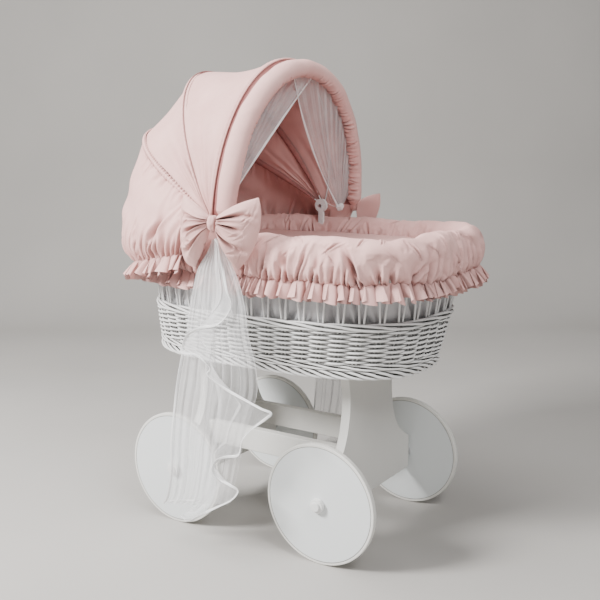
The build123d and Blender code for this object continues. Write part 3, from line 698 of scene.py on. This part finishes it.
def arch(shape, share, foot=0.005, lift=0.0):
    """Points over a hoop's arch at shares of its length from the near foot, and outward directions."""
    angle, forward, half_width, height, n = shape
    first = np.arcsin((foot / height) ** (n / 2))
    turn = np.linspace(first, pi - first, 2001)
    wide = -half_width * signed_power(np.cos(turn), 2 / n)
    high = height * np.sin(turn) ** (2 / n)
    way = np.concatenate([[0], np.cumsum(np.hypot(np.diff(wide), np.diff(high)))])
    share = np.clip(share, 0, 1)
    at_wide = np.interp(share * way[-1], way, wide)
    at_high = np.interp(share * way[-1], way, high)
    slope_wide = np.interp(share * way[-1], way, np.gradient(wide, way))
    slope_high = np.interp(share * way[-1], way, np.gradient(high, way))
    lean = radians(angle)
    up_hoop = np.array([-cos(lean), 0, sin(lean)])
    ahead_hoop = np.array([sin(lean), 0, cos(lean)])
    across_hoop = np.array([0, 1, 0])
    out = -slope_high[:, None] * across_hoop + slope_wide[:, None] * up_hoop
    out /= np.linalg.norm(out, axis=1)[:, None]
    points = np.array(PIVOT) + ahead_hoop * forward + at_wide[:, None] * across_hoop + at_high[:,
        None] * up_hoop
    return points + out * lift, out


def skin(name, lines, levels, marks, seed, sag, body, count=420, billow=0.0016, material=None):
    """A sheet through several lines of points, with folds; s runs round it and t across it."""
    share = np.linspace(0, 1, count)
    knots = np.array([line(share) for line in lines])
    places = np.linspace(0, len(lines) - 1, levels)
    if len(lines) == 2:
        rows = knots[0][None] + (knots[1] - knots[0])[None] * places[:, None, None]
    else:
        rows = np.array([smooth_curve(knots[:, i], levels)[0] for i in range(count)]).transpose(1, 0, 2)
    across_step = np.gradient(rows, axis=0)
    round_step = np.gradient(rows, axis=1)
    normal = np.cross(round_step, across_step)
    normal /= np.maximum(np.linalg.norm(normal, axis=2), 1e-9)[..., None]
    middle = np.array([-0.13, 0, 0.75])
    normal *= np.sign((normal * (rows - middle)).sum(-1))[..., None]
    way_round = np.cumsum(np.linalg.norm(round_step, axis=2), axis=1)
    way_across = np.cumsum(np.linalg.norm(across_step, axis=2), axis=0)
    t = np.linspace(0, 1, levels)[:, None] + np.zeros((1, count))
    relief = marks(way_round, way_across, t, share[None, :] + np.zeros((levels, 1)))
    relief = relief + billow * ripple(rows, 0.09, seed) * np.sin(pi * t) ** 0.5
    dip = sag * np.sin(pi * t) * np.sin(pi * share)[None, :] ** 0.5
    rows = rows + normal * (relief - dip)[..., None]
    made = piece(name, rows, grid_faces(levels, count), material or pink_cotton, body)
    return made, rows


def fan_folds(seed, count, depth, low, high):
    """Folds that fan from both pivots along the hoops: marks in share across and length round."""
    draw = np.random.default_rng(seed)

    def relief(way_round, way_across, t, share):
        total = way_round[:, -1:]
        height = np.zeros_like(t)
        for from_far in (False, True):
            distance = total - way_round if from_far else way_round
            marks = [
                (draw.uniform(0.02, 0.17), draw.normal(0, 0.09), draw.uniform(-0.02, 0.08),
                    draw.uniform(low, high),
                 draw.uniform(0.006, 0.013), depth * draw.uniform(0.4, 1.0))
                for _ in range(count)
            ]
            height += creases(t * 0.19, distance, marks)
        return height * np.sin(pi * t) ** 0.6

    return relief


def bag_folds(way_round, way_across, t, share):
    total_across = way_across[-1:, :]
    draw = np.random.default_rng(77)
    from_hem = total_across - way_across
    position = share * 1.35
    hem_marks = [
        (at, draw.normal(0, 0.22), -0.004, draw.uniform(0.05, 0.17), draw.uniform(0.0035, 0.009),
            draw.uniform(0.004, 0.0105))
        for at in (np.arange(62) + draw.uniform(-0.4, 0.4, 62)) * 1.35 / 62
    ]
    seam_marks = [
        (at, draw.normal(0, 0.25), 0.0, draw.uniform(0.02, 0.10), draw.uniform(0.004, 0.008),
            draw.uniform(0.001, 0.003))
        for at in (np.arange(46) + draw.uniform(-0.4, 0.4, 46)) * 1.35 / 46
    ]
    fine = 0.0011 * np.exp(-from_hem / 0.014) * np.sin(position * 2 * pi / 0.0085)
    return creases(position, from_hem, hem_marks) + creases(position, way_across, seam_marks) + fine


def level_arch(front, head, half_width, n, share, foot=0.006):
    """Points over a nearly level arch from a front point round the head end."""
    along = np.array([head[0] - front[0], 0, head[1] - front[1]])
    height = np.linalg.norm(along)
    along /= height
    first = np.arcsin((foot / height) ** (n / 2))
    turn = np.linspace(first, pi - first, 2001)
    wide = -half_width * signed_power(np.cos(turn), 2 / n)
    high = height * np.sin(turn) ** (2 / n)
    way = np.concatenate([[0], np.cumsum(np.hypot(np.diff(wide), np.diff(high)))])
    at_wide = np.interp(share * way[-1], way, wide)
    at_high = np.interp(share * way[-1], way, high)
    return np.array([front[0], 0, front[1]]) + at_high[:, None] * along + at_wide[:,
        None] * np.array([0, 1, 0])


def bag_bulge(share):
    return level_arch((-0.083, 0.722), (-0.4335, 0.700), 0.284, 2.65, share)


def bag_low(share):
    return level_arch((-0.092, 0.690), (-0.4285, 0.652), 0.288, 2.5, share)


def bag_hem(share):
    return level_arch((-0.100, 0.668), (-0.396, 0.614), 0.284, 2.35, share)


def bag_high(share):
    top = arch(REAR, share)[0]
    middle = 0.5 * top + 0.5 * bag_bulge(share)
    push = middle - np.array([-0.13, 0, 0])
    push[:, 2] = 0
    push /= np.linalg.norm(push, axis=1)[:, None]
    return middle + push * (0.013 * np.sin(pi * share) ** 0.4)[:, None]


bag, rows = skin(
    "rear_bag", [lambda share: arch(REAR, share)[0], bag_high, bag_bulge, bag_low, bag_hem], 120,
    bag_folds, 81, 0.0, None, 900, 0.0036,
)
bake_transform(bag)
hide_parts("canopy_rear_bag")


def bag_frill_line(share, out):
    hem = bag_hem(np.clip(share, 0, 1))
    outward = hem - np.array([-0.16, 0, 0])
    outward[:, 2] = 0
    outward /= np.linalg.norm(outward, axis=1)[:, None]
    return hem + outward * out[:, None], outward


bag_ruffle = frill("bag_ruffle", 0.98, 0.001, 0.036, 0.018, 0.025, 91, bag_frill_line, closed=False)
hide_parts("canopy_hem_frill")


def crown(shape):
    return arch(shape, np.array([0.5]))[0][0]


def fold_between(panel, low, high):
    """Bakes a panel's placement into its mesh; the crowns of its two hoops are found but not used."""
    start, end = crown(low), crown(high)
    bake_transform(panel)


mid_panel, rows = skin(
    "mid_panel", [lambda share: arch(REAR, share)[0], lambda share: arch(MID, share)[0]], 70,
    fan_folds(101, 5, 0.0022, 0.12, 0.34), 82, 0.007, None, 420, 0.0034,
)
fold_between(mid_panel, REAR, MID)
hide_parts("canopy_mid_panel")
front_panel, rows = skin(
    "front_panel", [lambda share: arch(MID, share)[0], lambda share: arch(FRONT, share)[0]], 70,
    fan_folds(103, 8, 0.0045, 0.16, 0.44), 83, 0.012, None, 420, 0.0036,
)
fold_between(front_panel, MID, FRONT)
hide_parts("canopy_front_panel")

# painted shade: a darker pink cotton for the strip behind the roll and the channels' inner sides, standing in
# for the shade there
facing_shadow_cotton = cotton("facing_shadow_cotton", (0.44, 0.195, 0.18), (0.37, 0.15, 0.14))
# painted shade: the piping cord is darker pink, standing in for the shadow line along the middle seam
cord_shadow_cotton = cotton("cord_shadow_cotton", (0.42, 0.22, 0.205), (0.36, 0.18, 0.165), crumple=0.2)
# painted shade: the stitches are darker pink, standing in for the shadow lines beside the rear channel
thread = cotton("stitch_shadow_thread", (0.44, 0.23, 0.21), (0.38, 0.19, 0.18), crumple=0.1)


def beside(shape, share, ahead, lift):
    """Points a little ahead of an arch, drawing in to it near the pivots, where the fabric bunches."""
    points, _ = arch(shape, share, foot=0.028, lift=lift)
    from_pivot = np.hypot(points[:, 0] - PIVOT[0], points[:, 2] - PIVOT[2])
    forward = np.array([sin(radians(shape[0])), 0, cos(radians(shape[0]))])
    return points + forward * (ahead * np.clip(from_pivot / 0.14, 0, 1))[:, None]


def channel(name, shape, centre, half, height, pitch, depth, seed, body, inner=False, material=None):
    """A hoop's sewn channel: a narrow raised band of fabric over the wire, puckered by its stitches."""
    side = -1 if inner else 1
    start = 0.0025 if inner else -0.0012
    lines = [(-1, 0.0004), (-0.75, height * 0.6), (0, height), (0.75, height * 0.6), (1, 0.0004)]
    makers = [
        lambda share, across=across,
            lift=lift: beside(shape, share, centre + half * across, side * (lift + start))
        for across, lift in lines
    ]

    def puckers(way_round, way_across, t, share):
        wave = np.sin(2 * pi * way_round / pitch + 2.2 * np.sin(way_round * 37 + seed))
        return depth * wave * (np.abs(2 * t - 1) ** 1.5 * 0.8 + 0.3)

    made, rows = skin(name, makers, 13, puckers, seed, 0.0, body, 900, 0.0002, material)
    return made


def stitches(name, shape, ahead, lift, body, length=0.003, pitch=0.0045, radius=0.00045):
    """A row of stitches beside a hoop's arch."""
    total = 0.95
    paths = []
    for i in range(int(total / pitch)):
        share = (np.array([0, 0.5, 1]) * length + i * pitch) / total
        if share[-1] < 1:
            path = beside(shape, share, ahead, lift)
            path[1] += (path[1] - np.array(PIVOT)) * 0.0008
            paths.append(path)
    return tubes(name, paths, [radius] * len(paths), thread, body, upright=(0.3, 0.1, 1), sides=5)


rear_channel = channel("rear_channel", REAR, 0, 0.0068, 0.0052, 0.0095, 0.0015, 5, "hoop_rear")
stitches("rear_stitches_low", REAR, -0.0058, 0.0020, "hoop_rear")
stitches("rear_stitches_high", REAR, 0.0058, 0.0020, "hoop_rear")
mid_channel = channel("mid_channel", MID, -0.0050, 0.0046, 0.0038, 0.013, 0.0007, 6, "hoop_mid")
front_channel = channel("front_channel", FRONT, -0.0085, 0.0062, 0.0030, 0.015, 0.0004, 9, "hoop_front")
# the inner channels are in the darker pink as painted shade inside the hood
rear_inside = channel("rear_inside", REAR, 0, 0.0075, 0.0058, 0.016, 0.0006, 12, "hoop_rear", True,
    facing_shadow_cotton)
mid_inside = channel("mid_inside", MID, 0, 0.0075, 0.0058, 0.016, 0.0006, 13, "hoop_mid", True, facing_shadow_cotton)


def piping(name, shape, lift, radius, body, material):
    """A covered cord along a hoop's arch, as a tube whose section turns with the arch."""
    share = np.linspace(0.004, 0.996, 300)
    path, out = arch(shape, share, lift=lift)
    lean = radians(shape[0])
    forward = np.array([sin(lean), 0, cos(lean)])
    turn = np.arange(10) * 2 * pi / 10
    ring = out[:, None] * np.cos(turn)[None, :, None] + forward * np.sin(turn)[None, :, None]
    twist = 1 + 0.06 * np.sin(turn[None, :] + np.arange(300)[:, None] * 0.9)
    return piece(name, path[:, None] + radius * ring * twist[..., None], grid_faces(300, 10, False, True),
        material, body)


piping("mid_piping", MID, 0.0009, 0.0015, "hoop_mid", cord_shadow_cotton)
piping("front_piping", FRONT, 0.0008, 0.0022, "hoop_front", pink_cotton)
# the strip behind the roll is darker pink as painted shade of the gap
facing, rows = skin(
    "front_facing",
    [lambda share: arch((94.0, 0.033, 0.268, 0.350, 1.96), share, lift=-0.0015)[0],
     lambda share: arch((94.6, 0.041, 0.268, 0.342, 2.0), share, lift=-0.002)[0],
     lambda share: arch(ROLL, share, lift=0.004)[0]],
    14, lambda way_round, way_across, t, share: 0.0006 * np.sin(way_round * 2 * pi / 0.018) * t, 14, 0.0,
    "hoop_front", 500, 0.0003, facing_shadow_cotton,
)

# --- Padded roll ----------------------------------------------------------------------------
# The canopy's front edge is a soft roll: a tube of the same cotton round wadding, smooth outside
# and gathered into short puckers on its inner side, where the tulle is sewn on.
count, around = 900, 96
share = np.linspace(0, 1, count)
path, out = arch(ROLL, share)
lean = radians(ROLL[0])
forward = np.array([sin(lean), 0, cos(lean)])
tilt = radians(18)
long_way = forward * cos(tilt) - out * sin(tilt)
short_way = forward * sin(tilt) + out * cos(tilt)
turn = np.arange(around) * 2 * pi / around
end_size = np.clip(np.minimum(share, 1 - share) / 0.02, 0, 1) ** 0.5
size = (0.82 + 0.18 * np.sin(pi * share) ** 0.5) * end_size
ring = long_way[:, None] * (0.0238 * np.cos(turn))[None, :, None]
ring = ring + short_way[:, None] * (0.0185 * np.sin(turn))[None, :, None]
ring = ring * size[:, None, None]
normal = ring / np.maximum(np.linalg.norm(ring, axis=2), 1e-9)[..., None]
points = path[:, None] + ring
inward = np.clip(-(normal * out[:, None]).sum(-1) + 0.25, 0, 1)
way = share * 0.95
length = way[:, None] + np.zeros((1, around))
rng = np.random.default_rng(45)
relief = np.zeros_like(length)
for at in spread(0.95, 0.0125, 0.45):
    middle = rng.uniform(4.4, 5.5)
    reach = rng.uniform(0.6, 1.35)
    slant = rng.normal(0, 0.004)
    width = rng.uniform(0.0013, 0.003)
    deep = rng.uniform(0.0014, 0.0055)
    across_turn = (turn[None, :] - middle) / reach
    gap = (length - at - slant * across_turn) / (width * (1 + 0.5 * np.abs(across_turn)))
    fade = np.clip(1 - across_turn**2, 0, 1)
    relief += deep * fade * (0.4 * np.exp(-((np.abs(gap) - 1.8) ** 2)) - np.exp(-(gap**2)))
relief += 0.0011 * ripple(points, 0.07,
    46) + 0.0005 * inward * np.sin(length * 2 * pi / 0.0085 + ripple(points, 0.05, 47) * 3)
points = points + normal * (relief * size[:, None])[..., None]
roll_pad = piece("canopy_roll", points, grid_faces(count, around, False, True), pink_cotton, "hoop_front")
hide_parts("canopy_front_roll")

# --- Bows -----------------------------------------------------------------------------------
# A large bow of the same cotton on each side, over the ends of the canopy: each half is a folded
# loop, pinched into pleats by the knot, that spreads and bends back.
bow_cotton = cotton("bow_cotton", (0.80, 0.495, 0.46), (0.74, 0.43, 0.40), crumple=0.7)


def bow_wing(name, edge, knot_low, knot_high, side, valleys, seed, turn=0.0, size=1.0,
    centre=(0.006, 0.740), shift=(0, 0)):
    """A looped half of a bow, from its knot to its outer edge, with pleats that fan from the knot."""
    long, high = 90, 120
    outline, way = smooth_curve(edge, high)
    u = np.linspace(0, 1, long)[:, None]
    v = np.linspace(0, 1, high)[None, :]
    start_x = knot_high[0] + (knot_low[0] - knot_high[0]) * v
    start_z = knot_high[1] + (knot_low[1] - knot_high[1]) * v
    belly = 0.05 * np.sin(pi * u) * (v - 0.5) * 0.35
    x = start_x + (outline[None, :, 0] - start_x) * u
    z = start_z + (outline[None, :, 1] - start_z) * u - belly * 0.6
    base = 0.3165 - 0.0185 * u**1.4
    puff = (0.0045 + 0.0165 * np.sin(pi * np.clip(u, 0, 1) ** 0.85) ** 0.8) * np.clip(1 - u**9, 0, 1) ** 0.5
    puff = puff * np.clip(1 - (2 * v - 1) ** 6, 0, 1) ** 0.5
    relief = np.zeros_like(x)
    for at, deep, reach in valleys:
        wide = 0.016 + 0.034 * u
        gap = (v - at - 0.02 * np.sin(3 * u + at * 9)) / wide
        fade = np.clip(1 - u / reach, 0, 1) ** 0.7 * np.clip(u * 9, 0.3, 1)
        relief += deep * fade * (0.35 * np.exp(-((np.abs(gap) - 1.8) ** 2)) - np.exp(-(gap**2)))
    draw = np.random.default_rng(seed)
    marks = [(draw.uniform(0.1, 0.9), draw.normal(0, 1.2), draw.uniform(0.45, 0.8), draw.uniform(0.15, 0.4),
              draw.uniform(0.02, 0.045), draw.uniform(0.001, 0.0032)) for _ in range(9)]
    relief += creases(v + 0 * u, u + 0 * v, marks)
    flat = np.stack([x, z, 0 * x], -1)
    relief = relief + 0.0012 * ripple(flat, 0.06, seed)
    front = base + puff + relief * np.clip((1 - u) * 12, 0, 1)
    back = base - 0.55 * puff
    points = []
    cos_turn, sin_turn = cos(turn), sin(turn)
    for depth in (front, back):
        along_x = (x - centre[0]) * size
        along_z = (z - centre[1]) * size
        placed_x = centre[0] + shift[0] + along_x * cos_turn - along_z * sin_turn
        placed_z = centre[1] + shift[1] + along_x * sin_turn + along_z * cos_turn
        points.append(np.stack([placed_x, side * depth, placed_z], -1))
    loop = np.concatenate([points[0], points[1][:, ::-1]], axis=1)
    made = piece(name, loop, grid_faces(long, 2 * high, False, True), bow_cotton, "root")
    sewn = np.arange(long * 2 * high).reshape(long, 2 * high)
    settle(made, 2.0, 0.05, 0.0045, np.concatenate([sewn[:7].ravel(), sewn[-4:].ravel()]))
    return made


foot_edge = [(0.1087, 0.794), (0.1128, 0.776), (0.1135, 0.752), (0.104, 0.712), (0.081, 0.672),
    (0.052, 0.643)]
head_edge = [(-0.0894, 0.795), (-0.0966, 0.762), (-0.1003, 0.719), (-0.099, 0.680), (-0.087, 0.651),
    (-0.0623, 0.640)]
foot_valleys = [(0.22, 0.018, 0.85), (0.45, 0.021, 0.75), (0.72, 0.018, 0.97)]
head_valleys = [(0.25, 0.018, 0.85), (0.50, 0.021, 0.8), (0.78, 0.017, 0.9)]
wings = [
    bow_wing("bow_near_foot_wing", foot_edge, (0.016, 0.726), (0.017, 0.7545), -1, foot_valleys, 201),
    bow_wing("bow_near_head_wing", head_edge, (-0.004, 0.726), (-0.004, 0.7545), -1, head_valleys, 203),
    bow_wing("bow_far_foot_wing", foot_edge, (0.016, 0.726), (0.017, 0.7545), 1, foot_valleys, 205, -0.12,
        0.8, shift=(-0.036, 0.0)),
    bow_wing("bow_far_head_wing", head_edge, (-0.004, 0.726), (-0.004, 0.7545), 1, head_valleys, 207, 0.12,
        0.85, shift=(-0.036, 0.0)),
]
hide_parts("bow_near")
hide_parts("bow_far")


def bow_knot(name, centre, seed):
    """A band of cotton wrapped tightly round the middle of a bow."""
    around, tall = 60, 40
    turn = np.linspace(0, 2 * pi, around, endpoint=False)
    v = np.linspace(-1, 1, tall)
    rows = []
    for level in v:
        narrow = max(1 - abs(level) ** 3.2, 0) ** 0.5
        x = 0.0108 * signed_power(np.cos(turn), 0.9) * narrow
        y = 0.0135 * signed_power(np.sin(turn), 0.9) * narrow
        rows.append(np.stack([centre[0] + x, centre[1] + y, np.full(around, centre[2] + 0.0165 * level)], -1))
    rows = np.array(rows)
    outward = rows - np.array(centre)
    outward /= np.maximum(np.linalg.norm(outward, axis=2), 1e-9)[..., None]
    pleats = 0.00035 * np.sin(turn * 7)[None, :] + 0.0005 * ripple(rows, 0.014, seed)
    rows = rows + outward * pleats[..., None]
    return piece(name, rows, grid_faces(tall, around, False, True), bow_cotton, "root")


near_knot = bow_knot("bow_near_wrap", (0.006, -0.3175, 0.740), 211)
far_knot = bow_knot("bow_far_wrap", (-0.030, 0.3175, 0.740), 213)
for knot, name in ((near_knot, "bow_knot_near"), (far_knot, "bow_knot_far")):
    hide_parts(name)

# --- Tulle ----------------------------------------------------------------------------------
# Soft white net, edged with narrow white satin ribbon. Inside the opening it is sewn to the roll
# and drawn down to a knot at each side; from there it passes out under the bow and falls in long
# folds almost to the floor.


def net(name, cover, dense=1.0):
    """Sheer net: mostly holes, so light passes and what is behind shows; gathered, it is denser."""
    made, tree, surface = new_material(name)
    where = node(tree, "TexCoord").outputs["Object"]
    cloud = node(tree, "TexNoise", {"Vector": where, "Scale": 22, "Detail": 4}).outputs["Fac"]
    cell = node(tree, "TexVoronoi", {"Vector": where, "Scale": 650},
        feature="DISTANCE_TO_EDGE").outputs["Distance"]
    thread = node(tree, "MapRange", {0: cell, 1: 0.0, 2: 0.35, 3: 1.25, 4: 0.75}).outputs[0]
    thick = node(tree, "MapRange", {0: cloud, 1: 0.3, 2: 0.7, 3: cover * 0.88, 4: cover * 1.12}).outputs[0]
    height = node(tree, "SeparateXYZ", {"Vector": where}).outputs["Z"]
    gathered = node(tree, "MapRange", {0: height, 1: 0.30, 2: 0.66, 3: 1.0, 4: dense}).outputs[0]
    thick = node(tree, "Math", {0: thick, 1: gathered}, operation="MULTIPLY").outputs[0]
    alpha = node(tree, "Math", {0: thread, 1: thick}, operation="MULTIPLY").outputs[0]
    tone = mix(tree, cloud, (0.91, 0.90, 0.91), (0.95, 0.945, 0.95))
    inputs = {"Base Color": tone, "Roughness": 0.7, "Alpha": alpha, "Sheen Weight": 0.3}
    tree.links.new(node(tree, "BsdfPrincipled", inputs).outputs[0], surface)
    return made


tulle = net("tulle", 0.25, 1.6)
veil = net("veil_tulle", 0.31)
satin, tree, surface = new_material("satin_ribbon")
where = node(tree, "TexCoord").outputs["Object"]
streak = node(tree, "TexNoise", {"Vector": where, "Scale": 260, "Detail": 3}).outputs["Fac"]
tone = mix(tree, streak, (0.84, 0.84, 0.84), (0.92, 0.92, 0.92))
bump = node(tree, "Bump", {"Height": streak, "Strength": 0.15, "Distance": 0.0003}).outputs[0]
inputs = {"Base Color": tone, "Roughness": 0.36, "Normal": bump, "Sheen Weight": 0.2,
    "Specular IOR Level": 0.6}
tree.links.new(node(tree, "BsdfPrincipled", inputs).outputs[0], surface)


def ribbon(name, path, width, face, body, twist=0.0, count=260):
    """A flat satin ribbon along a line, its face turned to a direction and slowly twisting."""
    line, way = smooth_curve(path, count)
    along = np.gradient(line, axis=0)
    along /= np.linalg.norm(along, axis=1)[:, None]
    face = np.broadcast_to(np.array(face, float), line.shape)
    wide = np.cross(along, face)
    wide /= np.maximum(np.linalg.norm(wide, axis=1), 1e-9)[:, None]
    over = np.cross(wide, along)
    angle = twist * np.sin(way * 23 + twist)
    flat = wide * np.cos(angle)[:, None] + over * np.sin(angle)[:, None]
    up_face = np.cross(flat, along)
    turn = np.arange(10) * 2 * pi / 10
    ring = flat[:, None] * (width / 2 * np.cos(turn))[None, :, None] + up_face[:,
        None] * (0.0005 * np.sin(turn))[None, :, None]
    return piece(name, line[:, None] + ring, grid_faces(count, 10, False, True), satin, body)


def threads_sheet(name, tops, bottoms, folds, depth, seed, body, facing, belly, count=220, rows=120):
    """Net whose threads run from a gathered line of points to a spread one, with folds along them."""
    draw = np.random.default_rng(seed)
    tops, _ = smooth_curve(tops, count)
    bottoms, _ = smooth_curve(bottoms, count)
    u = np.linspace(0, 1, count)
    phases = draw.uniform(0, 2 * pi, 4)
    fold = np.sin(2 * pi * folds * u + phases[0]) + 0.6 * np.sin(2 * pi * folds * 1.73 * u + phases[1])
    fold += 0.4 * np.sin(2 * pi * folds * 2.9 * u + phases[2])
    grid = []
    for v in np.linspace(0, 1, rows):
        line = tops + (bottoms - tops) * v + np.array(belly) * (4 * v * (1 - v) * (1 - u) ** 2)[:, None]
        drift = 0.5 * np.sin(2 * pi * (0.7 * v + u * 1.3) + phases[3])
        line = line + np.array(facing)[None,
            :] * (depth * (0.15 + 0.85 * v) * (fold * 0.5 + drift * 0.3))[:, None]
        grid.append(line)
    return piece(name, np.array(grid), grid_faces(rows, count), veil, body)


for side_name, side in (("near", -1), ("far", 1)):
    knot_at = np.array([-0.036, side * 0.253, 0.738])
    inner = (95.0, 0.056 if side < 0 else 0.061, 0.252, 0.316, 2.05)
    attach = np.linspace(0.545, 0.04, 12) if side < 0 else np.linspace(0.455, 0.96, 12)
    tops = arch(inner, attach)[0]
    gather = np.linspace(-1, 1, 12)[:, None] * np.array([0.007, 0, 0.004]) + knot_at
    belly = np.array([-0.007 if side < 0 else -0.018, 0, 0])
    curtain = threads_sheet(f"veil_curtain_{side_name}_net", gather, tops, 13, 0.0075, 300 + side,
        "hoop_front", (1, 0, 0.05), belly)
    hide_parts(f"veil_curtain_{side_name}")
    ribbon(
        f"veil_edge_{side_name}",
        [tops[0] * v + gather[0] * (1 - v) + belly * 4 * v * (1 - v)
            + [0.003, 0, 0] for v in (1, 0.8, 0.6, 0.4, 0.2, 0)],
        0.005, (0.95, -0.3, 0.1), "hoop_front", 0.5,
    )
    ribbon(
        f"veil_tie_{side_name}",
        [knot_at + [0.0, 0, 0.004], knot_at + [-0.012, -side * 0.012, 0.002],
            knot_at + [-0.027, -side * 0.026, 0.012]],
        0.003, (0, 0, 1), "hoop_front", 0.2, 60,
    )
    lump_turn = np.linspace(0, 2 * pi, 40, endpoint=False)
    lump = []
    for level in np.linspace(-1, 1, 24):
        wide = np.sqrt(max(1 - level**2, 0)) * 0.0105
        ring = np.stack([wide * np.cos(lump_turn), wide * np.sin(lump_turn), np.full(40, 0.010 * level)], -1)
        lump.append(ring)
    lump = np.array(lump)
    lump = lump * (1 + 0.22 * ripple(lump, 0.011, 310 + side))[..., None] + knot_at
    piece(f"veil_knot_{side_name}", lump, grid_faces(24, 40, False, True), satin, "hoop_front")


def tail(side_name, side, seed):
    """One length of tulle: a spread body of folds, a front flap along its ribbon, and the ribbons."""
    left = [(-0.012, 0.704), (-0.028, 0.675), (-0.053, 0.642), (-0.069, 0.600), (-0.083, 0.548),
        (-0.095, 0.487),
            (-0.103, 0.448), (-0.117, 0.392), (-0.132, 0.328), (-0.143, 0.245), (-0.148, 0.173),
                (-0.159, 0.110),
            (-0.176, 0.086)]
    right = [(0.010, 0.704), (0.022, 0.680), (0.043, 0.645), (0.060, 0.605), (0.070, 0.564), (0.077, 0.508),
             (0.093, 0.452), (0.097, 0.393), (0.080, 0.341), (0.061, 0.287), (0.052, 0.248), (0.040, 0.200),
             (0.020, 0.130)]
    spine = [(0.0, 0.704), (0.0, 0.642), (0.003, 0.600), (-0.008, 0.513), (-0.016, 0.447), (-0.002, 0.361),
             (-0.009, 0.293), (-0.022, 0.234), (-0.035, 0.186), (-0.055, 0.130), (-0.080, 0.100)]
    wander = [(0.006, 0.708), (0.017, 0.691), (0.021, 0.648), (0.035, 0.603), (0.040, 0.572), (0.028, 0.544),
              (-0.002, 0.525), (-0.043, 0.514), (-0.077, 0.495), (-0.093, 0.471), (-0.090, 0.456),
                  (-0.059, 0.453),
              (-0.030, 0.444), (-0.020, 0.428), (-0.024, 0.414), (0.021, 0.392), (0.074, 0.374),
                  (0.118, 0.364),
              (0.138, 0.355), (0.127, 0.342), (0.086, 0.311), (0.067, 0.286), (0.058, 0.258), (0.047, 0.247),
              (0.017, 0.239), (-0.011, 0.222), (-0.014, 0.203), (0.002, 0.184), (0.034, 0.179),
                  (0.050, 0.169),
              (0.031, 0.144), (-0.014, 0.116), (-0.058, 0.088), (-0.088, 0.069), (-0.118, 0.071)]
    hem = [(-0.176, 0.086), (-0.169, 0.091), (-0.138, 0.101), (-0.098, 0.111), (-0.069, 0.112),
        (-0.049, 0.102)]
    rows, columns = 150, 150
    draw = np.random.default_rng(seed)

    def sheet_between(name, low, high, depth, folds, amount):
        a, _ = smooth_curve(low, rows)
        b, _ = smooth_curve(high, rows)
        u = np.linspace(0, 1, columns)
        v = np.linspace(0, 1, rows)[:, None]
        phase = draw.uniform(0, 2 * pi, 3)
        fold = np.sin(2 * pi * folds * u + phase[0] + 0.8 * np.sin(2 * pi * v * 0.8 + phase[2]))
        fold = fold + 0.55 * np.sin(2 * pi * folds * 2.3 * u + phase[1] - 0.6 * v)
        squeeze = 0.35 / folds * np.sin(2 * pi * folds * u + phase[1]) * v**0.5 * np.sin(pi * u)
        along = np.clip(u + squeeze, 0, 1)[..., None]
        flat_points = a[:, None] + (b - a)[:, None] * along
        y = depth + amount * (0.25 + 0.75 * v) * fold * 0.6
        points = np.stack([flat_points[..., 0], side * y, flat_points[..., 1]], -1)
        made = piece(name, points, grid_faces(rows, columns), tulle, "root")
        return made

    body = sheet_between(f"veil_tail_{side_name}_net", left, right, 0.2995, 9, 0.0062)
    sheet_between(f"veil_tail_{side_name}_back", left, spine, 0.2955, 4, 0.004)
    sheet_between(f"veil_tail_{side_name}_flap", spine, wander, 0.309, 1.5, 0.004)
    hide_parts(f"veil_tail_{side_name}")

    def placed(path, depth, swing):
        return [(x, side * (depth + swing * sin(9 * i)), z) for i, (x, z) in enumerate(path)]

    ribbon(f"veil_ribbon_{side_name}_front", placed(wander, 0.3115, 0.004), 0.006, (0.15, side, 0.25),
        "root", 0.9, 520)
    ribbon(f"veil_ribbon_{side_name}_side", placed(left[6:], 0.3005, 0.002), 0.0055, (0.3, side, 0.1),
        "root", 0.5, 300)
    ribbon(f"veil_ribbon_{side_name}_hem", placed(hem, 0.297, 0.003), 0.004, (0.1, side, 0.9), "root", 0.6,
        120)


tail("near", -1, 401)
tail("far", 1, 403)
